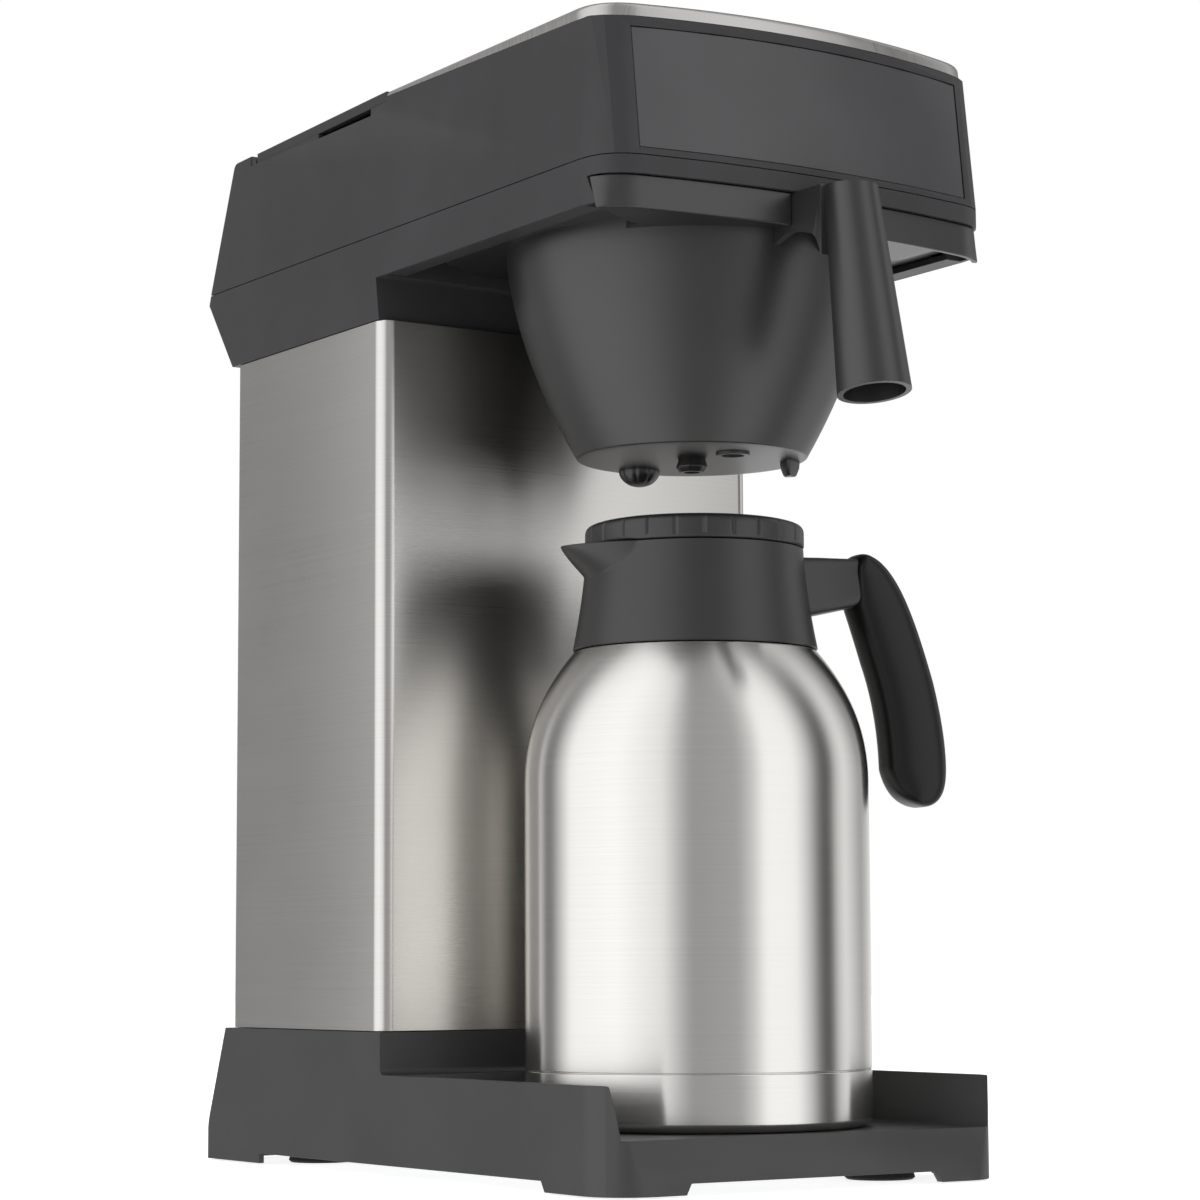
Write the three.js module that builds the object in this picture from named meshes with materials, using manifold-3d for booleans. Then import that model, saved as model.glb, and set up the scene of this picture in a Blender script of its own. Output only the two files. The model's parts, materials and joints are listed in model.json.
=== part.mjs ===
// Drip coffee maker with a vacuum jug, as an assembly of separate pieces.
// Millimetres, +Z up, the front of the machine towards -Y, x = 0 on its symmetry plane,
// y = 0 at the base's front edge and z = 0 on the table. The last lines move the group so that
// its origin is the bottom centre of its bounding box.
import * as THREE from 'three';
import { mergeVertices } from 'three/addons/utils/BufferGeometryUtils.js';
import Module from 'manifold-3d';

const wasm = await Module();
wasm.setup();

// ---- clearances and stock -------------------------------------------------
const gap = 0.3;                // between pieces that touch
const slideGap = 0.5;           // between pieces that slide or turn past each other
const hoseSlack = 0.8;          // between a hose and the stub it is pushed over
const wall = 3;                 // moulded housing wall
const sheet = 1.2;              // folded steel sheet
const screwRadius = 1.8;
const screwHole = screwRadius + gap;

// ---- housing: widths and depths -------------------------------------------
const housingWidth = 214;
const housingHalf = housingWidth / 2;
const cornerRun = 19;           // how far the front corners' bend reaches across
const cornerDepth = 22;         // and how far it reaches back
const baseDepth = 368;
const columnFront = 191;
const columnDepth = 145;
const columnRear = columnFront + columnDepth;
const columnBend = 7;
const columnHalf = housingHalf - 0.5;
const frontBulge = 9.3;         // the hood's front stands this far forward of the base
const bulgeRate = 0.001;        // and falls back with x squared
const hoodRear = columnRear + 34;

// ---- housing: heights ------------------------------------------------------
const tabBottom = 0.8;
const skirtBottom = 5.5;
const trayTop = 24;
const trayWallRise = 22.5;
const blockTop = trayTop + 42;
const columnHeight = 333.4;
const columnBottom = blockTop + gap;
const columnTop = columnBottom + columnHeight;
const chassisBottom = columnTop + gap;
const chassisHeight = 41;
const skirtRise = 20.5;         // the hood's skirt starts this far above the column's top
const seam = chassisBottom + chassisHeight;
const lipHeight = 8.2;          // front lip over the basket's apron
const hoodBottom = seam + gap;
const hoodFrontHeight = 62.1;
const hoodRearHeight = 65.9;
const roofFront = hoodBottom + hoodFrontHeight;
const roofRear = hoodBottom + hoodRearHeight;
const topLevel = roofRear + 2.8;
const roofHalf = housingHalf - 2.5;
const deckThickness = 3;
const deckBottom = seam - 7;

// ---- filler lid and its hinge ----------------------------------------------
const lidFront = columnFront + 0.8;
const lidPivotY = lidFront + 137.2;
const lidFall = 0.0225;         // the lid's top falls this much per millimetre to the rear
const barrelRadius = 4.9;
const lidTopAtPivot = topLevel - lidFall * (lidPivotY - lidFront);
const lidPivotZ = lidTopAtPivot - barrelRadius;
const lidThickness = 4.8;
const cheekWidth = 6.2;         // hood cheeks that hold the hinge pins
const pinRadius = 1.5;
const pinBore = 1.58;
const pinLength = 13;
const lidSetBack = 6;           // the wide part of the lid ends this far ahead of the pivot

// ---- tank, heater and hoses -------------------------------------------------
const tankHalf = 86;
const tankFront = columnFront + 12;
const tankDepth = 115;
const tankWall = 2.5;
const tankBelowSeam = 61;
const tankBottom = seam - tankBelowSeam;
const tankTop = topLevel - 11.6;
const serviceY = columnFront + 71;  // the plane of the heater, valve and hoses
const inletX = -62;
const stubRadius = 7;
const inletBore = 4.5;
const inletHoseRadius = 9.8;
const inletHoseBend = 18;
const heaterRadius = 26;
const heaterWall = 4;
const heaterBottom = blockTop + 39;
const heaterHeight = 170;
const outletRadius = 4.5;
const outletBore = 3;
const riserRadius = 6.8;
const riserX = tankHalf + 8;
const valveRadius = 11;
const coilWire = 3.2;
const coilTurns = 6;
const coilPitch = 16;
const coilClear = 2;            // between the heater's wall and the coil

// ---- filter basket ------------------------------------------------------------
const basketY = 90;
const bowlHeight = 104.3;
const bowlRadius = 86;
const bowlFloorRadius = 53;
const bowlWall = 2.5;
const bowlCurve = 1.8;          // 1 is a straight cone, more swells the wall outwards
const bowlTop = seam - lipHeight - slideGap;
const bowlBottom = bowlTop - bowlHeight;
const apronHeight = 14.4;
const apronTop = seam - lipHeight - 0.4;
const apronBack = 2;            // the apron's face lies this far behind the lip's
const ledgeTop = chassisBottom + 23.5;
const flangeThickness = 2.5;
const handleLength = 88;
const handleTopRadius = 12;
const handleEndRadius = 16.2;
const handleWall = 2.6;
const handleLean = 0.155;       // radians, foot forward
const handleTopY = -32;
const rootHalf = 14.2;
const outletHeight = 6;
const sprayRadius = 15.5;
const sprayHoles = 6;
const sprayHoleRadius = 1.6;
const sprayRing = 9;

// ---- jug -----------------------------------------------------------------------
const jugY = 88.5;
const jugRadius = 78.4;
const jugBottom = trayTop + gap;
const capHeight = 25.4;
const capTop = jugBottom + capHeight;
const shoulderStart = 152;      // above the jug's bottom
const shoulderHeight = 62;
const shoulderCurve = 2.3;      // more keeps the shoulder full for longer
const shoulderTop = jugBottom + shoulderStart + shoulderHeight;
const collarFoot = 56.2;
const collarHeight = 46.5;
const collarTop = shoulderTop + 0.4 + collarHeight;
const collarTopRadius = 50;
const neckRadius = 46;
const steel = 0.7;              // sheet of the jug's shell, cap and flask
const flaskWeldLow = capTop + 73;       // the flask's cup meets its sleeve
const flaskWeldHigh = shoulderTop - 50; // the sleeve meets the neck pressing
const jugLidHeight = 11.5;
const jugLidRadius = 50.3;
const brewBore = 5;             // the hole down through the lid and stopper
const jugHandleTurn = -0.239;   // radians, the jug's handle seen from above
const gripReach = 124;
const gripWidth = 24;
const armWidth = 20;

// ---- power switch -----------------------------------------------------------------
const switchY = columnFront + 46.5;
const switchZ = chassisBottom + 20.5;
const rockerWidth = 11.4;
const rockerHalf = 7.6;

// ---- shape helpers ------------------------------------------------------------------

// A closed outline from corners [a, b] or [a, b, radius]; a radius turns the corner into an arc.
function outline(corners) {
  const shape = new THREE.Shape();
  corners.forEach(([a, b, radius = 0], i) => {
    const here = new THREE.Vector2(a, b);
    const before = corners[(i + corners.length - 1) % corners.length];
    const after = corners[(i + 1) % corners.length];
    const toBefore = new THREE.Vector2(before[0] - a, before[1] - b).normalize();
    const toAfter = new THREE.Vector2(after[0] - a, after[1] - b).normalize();
    const go = i === 0 ? 'moveTo' : 'lineTo';
    if (radius === 0) {
      shape[go](a, b);
      return;
    }
    const half = Math.acos(THREE.MathUtils.clamp(toBefore.dot(toAfter), -1, 1)) / 2;
    const run = radius / Math.tan(half);
    const start = here.clone().addScaledVector(toBefore, run);
    const end = here.clone().addScaledVector(toAfter, run);
    const middle = toBefore.clone().add(toAfter).normalize();
    const centre = here.clone().addScaledVector(middle, radius / Math.sin(half));
    shape[go](start.x, start.y);
    const from = Math.atan2(start.y - centre.y, start.x - centre.x);
    const to = Math.atan2(end.y - centre.y, end.x - centre.x);
    const clockwise = toBefore.cross(toAfter) > 0;
    shape.absarc(centre.x, centre.y, radius, from, to, clockwise);
  });
  return shape;
}

// The housing's plan: parabolic front, bent front corners, square rear with small arcs.
function housingPlan(half, front, rear, inset = 0) {
  const x = half - inset;
  const bendX = x - cornerRun + inset;
  const rise = bulgeRate * bendX * bendX;
  const slope = 2 * bulgeRate * bendX;
  const y = front + inset;
  const bendY = y + rise;
  const shape = new THREE.Shape();
  shape.moveTo(-bendX, bendY);
  shape.quadraticCurveTo(0, bendY - slope * bendX, bendX, bendY);
  shape.quadraticCurveTo(x, bendY + slope * (x - bendX), x, front + cornerDepth + 9);
  shape.lineTo(x, rear - inset);
  shape.lineTo(-x, rear - inset);
  shape.lineTo(-x, front + cornerDepth + 9);
  shape.quadraticCurveTo(-x, bendY + slope * (x - bendX), -bendX, bendY);
  return shape;
}

// A closed three.js geometry as a manifold solid, its faces turned outward.
function solid(geometry) {
  geometry.deleteAttribute('normal');
  geometry.deleteAttribute('uv');
  const merged = mergeVertices(geometry, 1e-4);
  const position = merged.attributes.position.array;
  const corners = [];
  let volume = 0;
  const a = new THREE.Vector3();
  const b = new THREE.Vector3();
  const c = new THREE.Vector3();
  for (let i = 0; i < merged.index.count; i += 3) {
    const triangle = [0, 1, 2].map((k) => merged.index.array[i + k]);
    if (new Set(triangle).size === 3) {
      corners.push(triangle);
      [a, b, c].forEach((v, k) => v.fromArray(position, 3 * triangle[k]));
      volume += a.dot(b.cross(c));
    }
  }
  const triVerts = Uint32Array.from(corners.flatMap((t) => (volume < 0 ? [t[0], t[2], t[1]] : t)));
  const vertProperties = Float32Array.from(position);
  return new wasm.Manifold(new wasm.Mesh({ numProp: 3, vertProperties, triVerts }));
}

function extruded(shape, depth, curveSegments) {
  return new THREE.ExtrudeGeometry(shape, { depth, curveSegments, bevelEnabled: false });
}

function alongX(shape, x0, x1, curveSegments = 3) {
  const turn = new THREE.Matrix4().set(0, 0, 1, x0, 1, 0, 0, 0, 0, 1, 0, 0, 0, 0, 0, 1);
  return solid(extruded(shape, x1 - x0, curveSegments).applyMatrix4(turn));
}

function alongY(shape, y0, y1, curveSegments = 3) {
  return solid(extruded(shape, y1 - y0, curveSegments).rotateX(Math.PI / 2).translate(0, y1, 0));
}

function alongZ(shape, z0, z1, curveSegments = 3) {
  return solid(extruded(shape, z1 - z0, curveSegments).translate(0, 0, z0));
}

function box(x0, x1, y0, y1, z0, z1) {
  const geometry = new THREE.BoxGeometry(x1 - x0, y1 - y0, z1 - z0);
  return solid(geometry.translate((x0 + x1) / 2, (y0 + y1) / 2, (z0 + z1) / 2));
}

// A cylinder along one axis ('x', 'y' or 'z') between two stations, centred on the other two.
function cylinder(axis, radius, from, to, u, v, sides = 20) {
  const geometry = new THREE.CylinderGeometry(radius, radius, to - from, sides);
  const middle = (from + to) / 2;
  if (axis === 'x') geometry.rotateZ(Math.PI / 2).translate(middle, u, v);
  if (axis === 'y') geometry.translate(u, middle, v);
  if (axis === 'z') geometry.rotateX(Math.PI / 2).translate(u, v, middle);
  return solid(geometry);
}

// A turned solid about a vertical axis through (x, y), from [radius, z] points.
function turned(points, x, y, sides = 40) {
  const profile = points.map(([r, z]) => new THREE.Vector2(r, z));
  return solid(new THREE.LatheGeometry(profile, sides).rotateX(Math.PI / 2).translate(x, y, 0));
}

// A turned tube: the [radius, z] rings of its outer and inner wall, both from the bottom up.
function turnedTube(outer, inner, x, y, sides = 40) {
  return turned([...outer, ...[...inner].reverse(), outer[0]], x, y, sides);
}

// A round tube through corners, with bends of one size; bore 0 makes it solid.
function pipe(corners, bend, radius, bore, steps, sides = 5) {
  const path = new THREE.CurvePath();
  const points = corners.map((p) => new THREE.Vector3(...p));
  let from = points[0];
  for (let i = 1; i < points.length - 1; i += 1) {
    const before = points[i].clone().add(points[i - 1].clone().sub(points[i]).setLength(bend));
    const after = points[i].clone().add(points[i + 1].clone().sub(points[i]).setLength(bend));
    path.add(new THREE.LineCurve3(from, before));
    path.add(new THREE.QuadraticBezierCurve3(before, points[i], after));
    from = after;
  }
  path.add(new THREE.LineCurve3(from, points[points.length - 1]));
  const section = new THREE.Shape().absarc(0, 0, radius, 0, 2 * Math.PI);
  if (bore > 0) section.holes.push(new THREE.Path().absarc(0, 0, bore, 0, 2 * Math.PI, true));
  return solid(new THREE.ExtrudeGeometry(section, {
    extrudePath: path, steps, curveSegments: sides, bevelEnabled: false,
  }));
}

function joined(...solids) {
  return solids.reduce((sum, next) => sum.add(next));
}

// ---- looks: colour, roughness, metalness ----------------------------------------------
const looks = {
  housing: [0x474849, 0.55, 0],
  fascia: [0x4c4c50, 0.4, 0],
  steel: [0xb9b6b0, 0.32, 1],
  jug: [0xc2bfba, 0.25, 1],
  collar: [0x3c3a3b, 0.5, 0],
  grip: [0x262526, 0.35, 0],
  rubber: [0x1c1c1c, 0.85, 0],
  silicone: [0xd8d4cc, 0.5, 0],
  zinc: [0x9a9c9e, 0.45, 1],
  aluminium: [0xa7a9ab, 0.45, 1],
  tank: [0xb9bcbe, 0.4, 0],
  white: [0xe2e0da, 0.5, 0],
  rocker: [0x1d1d1f, 0.3, 0],
};

const machine = new THREE.Group();
const pose = new THREE.Group();
pose.add(machine);

// Adds one named piece; shape is an optional change to the finished vertices.
function piece(name, body, look, shape = null) {
  const { vertProperties, triVerts } = body.getMesh();
  const geometry = new THREE.BufferGeometry();
  geometry.setAttribute('position', new THREE.BufferAttribute(vertProperties, 3));
  geometry.setIndex(new THREE.BufferAttribute(triVerts, 1));
  if (shape) shape(geometry);
  geometry.computeVertexNormals();
  const [color, roughness, metalness] = looks[look];
  const mesh = new THREE.Mesh(geometry, new THREE.MeshStandardMaterial({ color, roughness, metalness }));
  mesh.name = name;
  machine.add(mesh);
}

// The hood's front leans back as it rises, more at the corners than in the middle.
const leanMiddle = 2.4;
const leanRate = 0.0006;
const leanDepth = 60;
function leanBack(geometry) {
  const position = geometry.attributes.position;
  for (let i = 0; i < position.count; i += 1) {
    const rise = Math.max(0, (position.getZ(i) - hoodBottom) / hoodFrontHeight);
    const nearness = THREE.MathUtils.clamp((leanDepth - position.getY(i)) / leanDepth, 0, 1);
    const lean = leanMiddle + leanRate * position.getX(i) ** 2;
    position.setY(i, position.getY(i) + rise * nearness * lean);
  }
}

// ---- base -------------------------------------------------------------------------------
const footX = housingHalf - 38;
const footRadius = 16;
const footY = [45, baseDepth - 53];
const plateTop = skirtBottom + 1.7;
const plateBottom = plateTop - sheet;
const bossX = housingHalf - 19;
const bossRadius = 5;
const bossY = [78, baseDepth - 118];
const blockRearY = columnRear + 9.5;
const trayRearY = columnFront - 8;

function basePlan(inset) {
  const x = housingHalf - inset;
  const corner = 22 - inset;
  return outline([[-x, inset, corner], [x, inset, corner],
    [x, baseDepth - inset, 6], [-x, baseDepth - inset, 6]]);
}

function baseShell() {
  const wallTop = trayTop + trayWallRise;
  const side = outline([[0, tabBottom], [baseDepth - 2, tabBottom], [baseDepth, skirtBottom + 1.5],
    [blockRearY, blockTop], [columnFront, blockTop], [columnFront, wallTop, 3], [6, wallTop, 5]]);
  const trayHalf = housingHalf - 8.4;
  const tray = alongX(outline([[-5, trayTop], [trayRearY, trayTop], [trayRearY + 2, wallTop],
    [columnFront, wallTop + 5.5], [columnFront, blockTop + 5], [-5, blockTop + 5]]),
  -housingHalf, housingHalf).intersect(alongY(outline([[-trayHalf, trayTop], [trayHalf, trayTop],
    [trayHalf + 7.5, blockTop + 5], [-trayHalf - 7.5, blockTop + 5]]), -5, columnFront + 1));
  const under = trayTop - wall;
  const hollow = alongX(outline([[wall + 1.5, -1], [baseDepth - wall - 2, -1],
    [baseDepth - wall, skirtBottom + 1.5], [blockRearY - wall, blockTop - wall],
    [columnFront + wall, blockTop - wall], [columnFront + wall, wallTop + 4],
    [trayRearY + wall + 2, wallTop - 2], [trayRearY + wall, under], [wall + 1.5, under]]),
  -housingHalf + wall, housingHalf - wall).intersect(alongZ(basePlan(wall), -1, blockTop));
  const tabX = housingHalf - 37;
  const sideGap = alongX(outline([[50, -1], [baseDepth - 59, -1], [baseDepth - 59, skirtBottom],
    [54, skirtBottom]]), -housingHalf - 1, housingHalf + 1);
  const endGap = alongY(outline([[-tabX, -1], [tabX, -1], [tabX - 4, skirtBottom],
    [4 - tabX, skirtBottom]]), -1, baseDepth + 1);
  let shell = alongZ(basePlan(0), tabBottom, blockTop, 4)
    .intersect(alongX(side, -housingHalf, housingHalf))
    .subtract(tray).subtract(hollow).subtract(sideGap).subtract(endGap)
    .subtract(box(-60, 60, columnFront + 24, columnRear - 16, blockTop - wall - 1, blockTop + 1));
  for (const x of [-bossX, bossX]) {
    bossY.forEach((y, i) => {
      const top = i === 0 ? under + 1 : blockTop - wall + 1;
      shell = shell.add(cylinder('z', bossRadius, plateTop + gap, top, x, y, 12))
        .subtract(cylinder('z', screwHole, plateTop, plateTop + 12, x, y, 10));
    });
  }
  return shell;
}

function basePlate() {
  const y1 = baseDepth - wall - 2;
  let plate = alongZ(basePlan(wall + 0.4), plateBottom, plateTop)
    .intersect(box(-housingHalf, housingHalf, wall + 2, y1, plateBottom, plateTop));
  for (const x of [-bossX, bossX]) {
    for (const y of bossY) {
      plate = plate.subtract(cylinder('z', screwHole, plateBottom - 1, plateTop + 1, x, y, 10));
    }
  }
  return plate;
}

function baseScrew(x, y) {
  return joined(cylinder('z', 3.6, plateBottom - gap - 2, plateBottom - gap, x, y, 14),
    cylinder('z', screwRadius, plateBottom - 1, plateTop + 9, x, y, 10));
}

function foot(x, y) {
  const top = plateBottom - gap;
  return turned([[0, 0.8], [footRadius - 5, 0.8], [footRadius - 4, 0], [footRadius - 1.2, 0],
    [footRadius, 1], [footRadius - 1.5, top], [0, top]], x, y, 24);
}

piece('base_shell', baseShell(), 'housing');
piece('base_plate', basePlate(), 'zinc');
[['left', -1], ['right', 1]].forEach(([hand, side]) => {
  ['front', 'rear'].forEach((end, i) => {
    piece(`foot_${end}_${hand}`, foot(side * footX, footY[i]), 'rubber');
    piece(`base_screw_${end}_${hand}`, baseScrew(side * bossX, bossY[i]), 'zinc');
  });
});

// ---- column -----------------------------------------------------------------------------
const returnWidth = 12;
const coverScrewX = columnHalf - 6.5;
const coverScrewZ = [columnBottom + 14, columnTop - 15];
const coverFront = columnRear + gap;
const coverRear = coverFront + sheet;
const glandX = 46.5 - housingHalf;
const glandZ = blockTop + 29;
const glandRadius = 9;
const glandBore = 4;
const ventCount = 6;
const ventPitch = 8;
const ventHeight = 3;
const ventHalf = 35;
const ventDrop = 60;            // the lowest vent lies this far below the column's top

function columnShell() {
  const x = columnHalf;
  const section = outline([[-x, columnRear], [-x, columnFront, columnBend],
    [x, columnFront, columnBend], [x, columnRear], [x - returnWidth, columnRear],
    [x - returnWidth, columnRear - sheet], [x - sheet, columnRear - sheet],
    [x - sheet, columnFront + sheet, columnBend - sheet],
    [sheet - x, columnFront + sheet, columnBend - sheet],
    [sheet - x, columnRear - sheet], [returnWidth - x, columnRear - sheet],
    [returnWidth - x, columnRear]]);
  let shell = alongZ(section, columnBottom, columnTop);
  for (const x0 of [-coverScrewX, coverScrewX]) {
    for (const z of coverScrewZ) {
      shell = shell.subtract(cylinder('y', screwHole, columnRear - 3, columnRear + 1, x0, z, 10));
    }
  }
  return shell;
}

function rearCover() {
  const x = columnHalf - 1;
  let cover = box(-x, x, coverFront, coverRear, columnBottom + gap, columnTop - gap)
    .subtract(cylinder('y', glandRadius + gap, coverFront - 1, coverRear + 1, glandX, glandZ));
  for (const x0 of [-coverScrewX, coverScrewX]) {
    for (const z of coverScrewZ) {
      cover = cover.subtract(cylinder('y', screwHole, coverFront - 1, coverRear + 1, x0, z, 10));
    }
  }
  for (let i = 0; i < ventCount; i += 1) {
    const z = columnTop - ventDrop + ventPitch * i;
    cover = cover.subtract(box(-ventHalf, ventHalf, coverFront - 1, coverRear + 1, z, z + ventHeight));
  }
  return cover;
}

function coverScrew(x, z) {
  return joined(cylinder('y', 3.8, coverRear + gap, coverRear + gap + 2, x, z, 14),
    cylinder('y', screwRadius, columnRear - 6, coverRear + 1, x, z, 10));
}

// The bush that the mains lead would pass through: a collar outside, a lip inside, a bore.
function cableGland() {
  const bush = joined(cylinder('y', glandRadius, coverFront - 4, coverRear + 2, glandX, glandZ),
    cylinder('y', glandRadius + 1.5, coverFront - 4, coverFront - gap, glandX, glandZ),
    cylinder('y', glandRadius + 3, coverRear + gap, coverRear + 3.5, glandX, glandZ),
    cylinder('y', glandRadius - 2, coverRear + 3, coverRear + 12, glandX, glandZ));
  return bush.subtract(cylinder('y', glandBore, coverFront - 5, coverRear + 13, glandX, glandZ, 16));
}

piece('column_shell', columnShell(), 'steel');
piece('rear_cover', rearCover(), 'zinc');
[['left', -1], ['right', 1]].forEach(([hand, side]) => {
  ['lower', 'upper'].forEach((level, i) => {
    piece(`cover_screw_${level}_${hand}`, coverScrew(side * coverScrewX, coverScrewZ[i]), 'zinc');
  });
});
piece('cable_gland', cableGland(), 'rubber');

// ---- chassis (lower hood) -----------------------------------------------------------------
const skirtFrontTop = 16.4;
const skirtFrontFoot = 10.7;
const skirtFootZ = chassisBottom + skirtRise;
const lipBottom = seam - lipHeight;
const chassisRear = columnRear + 7.6;
const ledgeDepth = 8;
const tankLedge = 2.9;
const tankFlangeZ = seam - 2.7;

function chassis() {
  const x = housingHalf;
  const side = outline([[chassisRear, chassisBottom], [hoodRear, seam - 5],
    [hoodRear - 1.7, seam], [-frontBulge - 1, seam], [-frontBulge - 1, lipBottom],
    [skirtFrontTop, lipBottom], [skirtFrontFoot, skirtFootZ], [columnFront + 6, skirtFootZ],
    [columnFront + 3, chassisBottom]]);
  const body = alongX(side, -x, x)
    .intersect(alongZ(housingPlan(x, -frontBulge, hoodRear + 1), chassisBottom, seam, 5));
  const upper = alongZ(housingPlan(x, -frontBulge, hoodRear - 5, wall), deckBottom + deckThickness,
    seam + 1, 5);
  const shaft = alongX(outline([[columnFront + 9, chassisBottom - 1],
    [chassisRear - wall, chassisBottom - 1], [chassisRear - wall, chassisBottom],
    [hoodRear - wall - 1, seam - 4.5], [hoodRear - wall - 2.5, seam + 1],
    [columnFront + 9, seam + 1]]), wall - x, x - wall);
  const bay = box(wall - x, x - wall, skirtFrontFoot - 1, columnFront - 0.3,
    skirtFootZ - 2, deckBottom);
  let frame = body.subtract(upper).subtract(shaft).subtract(bay);
  for (const side1 of [-1, 1]) {
    const rail = [x - wall - ledgeDepth, x - wall + 0.5].map((v) => v * side1).sort((a, b) => a - b);
    const rest = [x - wall - tankLedge + 0.5, x - wall + 0.5].map((v) => v * side1)
      .sort((a, b) => a - b);
    frame = frame
      .add(box(...rail, skirtFrontTop + 4, columnFront - 3, skirtFootZ, ledgeTop))
      .add(box(...rest, tankFront + 3, tankFront + tankDepth, tankFlangeZ - 3.3, tankFlangeZ - gap));
  }
  return frame
    .subtract(cylinder('z', sprayRadius + 0.5, deckBottom - 1, deckBottom + 9, 0, basketY, 28))
    .subtract(box(x - 7, x + 1, switchY - 6.3, switchY + 6.3, switchZ - 9.3, switchZ + 9.3));
}

piece('chassis', chassis(), 'housing');

// ---- hood ---------------------------------------------------------------------------------
const lidLine = topLevel - lidThickness - gap;      // top of the hood's sides under the lid
const cheekInner = roofHalf - cheekWidth;
const fillerHalf = tankHalf + 2;
const recessFloor = topLevel - 8.5;
const capFront = lidPivotY + barrelRadius + slideGap;
const hingeWell = barrelRadius + slideGap + 0.1;
const fasciaHalf = 90;
const fasciaDepth = 2.6;
const fasciaBottom = hoodBottom + 3.2;
const fasciaTop = fasciaBottom + 54.3;

// The strip between the hood's front face and a copy of it set back, over a given half width.
function fasciaPlan(half, front, back) {
  const rise = bulgeRate * half * half;
  const pull = 2 * rise;
  const shape = new THREE.Shape();
  shape.moveTo(-half, front + rise);
  shape.quadraticCurveTo(0, front + rise - pull, half, front + rise);
  shape.lineTo(half, back + rise);
  shape.quadraticCurveTo(0, back + rise - pull, -half, back + rise);
  return shape;
}

function hoodShell() {
  const x = housingHalf;
  const rearTop = columnRear + 11;
  const capTop1 = topLevel - lidFall * (rearTop - lidFront);
  const side = outline([[-frontBulge - 1, hoodBottom], [hoodRear - 2, hoodBottom],
    [rearTop, capTop1, 4], [lidPivotY + gap, lidTopAtPivot],
    [lidPivotY + gap, lidLine - lidFall * (lidPivotY - lidFront)], [lidFront - gap, lidLine],
    [lidFront - gap, roofRear], [-frontBulge - 1, roofFront]]);
  const front = outline([[-x, hoodBottom], [x, hoodBottom], [roofHalf, roofRear],
    [roofHalf, topLevel], [-roofHalf, topLevel], [-roofHalf, roofRear]]);
  const body = alongX(side, -x, x).intersect(alongY(front, -frontBulge - 1, hoodRear))
    .intersect(alongZ(housingPlan(x, -frontBulge, hoodRear + 1), hoodBottom, topLevel, 5));
  const inside = alongX(outline([[-frontBulge, hoodBottom - 1], [hoodRear - wall - 2, hoodBottom - 1],
    [rearTop - wall, recessFloor - wall], [lidFront, recessFloor - wall], [lidFront - wall, roofRear - wall],
    [-frontBulge, roofFront - wall]]), wall - x, x - wall)
    .intersect(alongZ(housingPlan(x, -frontBulge, hoodRear, wall + fasciaDepth),
      hoodBottom - 1, topLevel, 5))
    .intersect(alongY(outline([[wall - x, hoodBottom - 1], [x - wall, hoodBottom - 1],
      [roofHalf - wall, topLevel], [wall - roofHalf, topLevel]]), -frontBulge, hoodRear));
  const recess = box(wall - roofHalf, roofHalf - wall, lidFront - gap, lidPivotY - 6,
    recessFloor, topLevel + 1);
  const hingeBlock = box(wall - roofHalf, roofHalf - wall, lidPivotY - 7.5, lidPivotY + 10,
    lidPivotZ - hingeWell - wall, lidPivotZ);
  const well = joined(cylinder('x', hingeWell, -cheekInner, cheekInner, lidPivotY, lidPivotZ, 28),
    box(-cheekInner, cheekInner, lidPivotY - 8, capFront, lidPivotZ, topLevel + 1));
  const filler = box(-fillerHalf, fillerHalf, tankFront + 1, lidPivotY - 8.5,
    recessFloor - wall - 1, topLevel);
  const notch = box(-x, wall - roofHalf + 1, columnFront + 15, columnFront + 67,
    lidLine - 3.9, lidLine + 1);
  const fascia = alongZ(fasciaPlan(fasciaHalf + gap, -frontBulge - 4, -frontBulge + fasciaDepth),
    fasciaBottom - gap, fasciaTop + gap, 10);
  const knuckles = [-1, 1].map((hand) => {
    const ends = [cheekInner + 0.05, roofHalf - 0.2].map((v) => v * hand).sort((a, b) => a - b);
    return cylinder('x', barrelRadius - 0.05, ...ends, lidPivotY, lidPivotZ, 28);
  });
  return body.subtract(inside).add(hingeBlock).subtract(recess).subtract(well).subtract(filler)
    .subtract(notch).subtract(fascia).add(knuckles[0]).add(knuckles[1])
    .subtract(cylinder('x', pinBore, -cheekInner - 5.4, cheekInner + 5.4, lidPivotY, lidPivotZ, 16));
}

function fasciaPanel() {
  return alongZ(fasciaPlan(fasciaHalf, -frontBulge + 0.6, -frontBulge + fasciaDepth - gap),
    fasciaBottom, fasciaTop, 10);
}

function topPlate() {
  const x = roofHalf - gap;
  const side = outline([[-frontBulge, roofFront + gap], [lidFront - 0.6, roofRear + gap],
    [lidFront - 0.6, topLevel], [-frontBulge, topLevel, 2.5]]);
  const under = alongX(outline([[-frontBulge, roofFront - 2], [lidFront + 1, roofFront - 2],
    [lidFront + 1, topLevel - sheet], [-frontBulge, topLevel - sheet]]), -x, x)
    .intersect(alongZ(housingPlan(x, -frontBulge + 0.5, lidFront - 0.6, sheet),
      roofFront - 2, topLevel, 5));
  return alongX(side, -x, x)
    .intersect(alongZ(housingPlan(x, -frontBulge + 0.5, lidFront), roofFront, topLevel, 5))
    .subtract(under);
}

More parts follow.
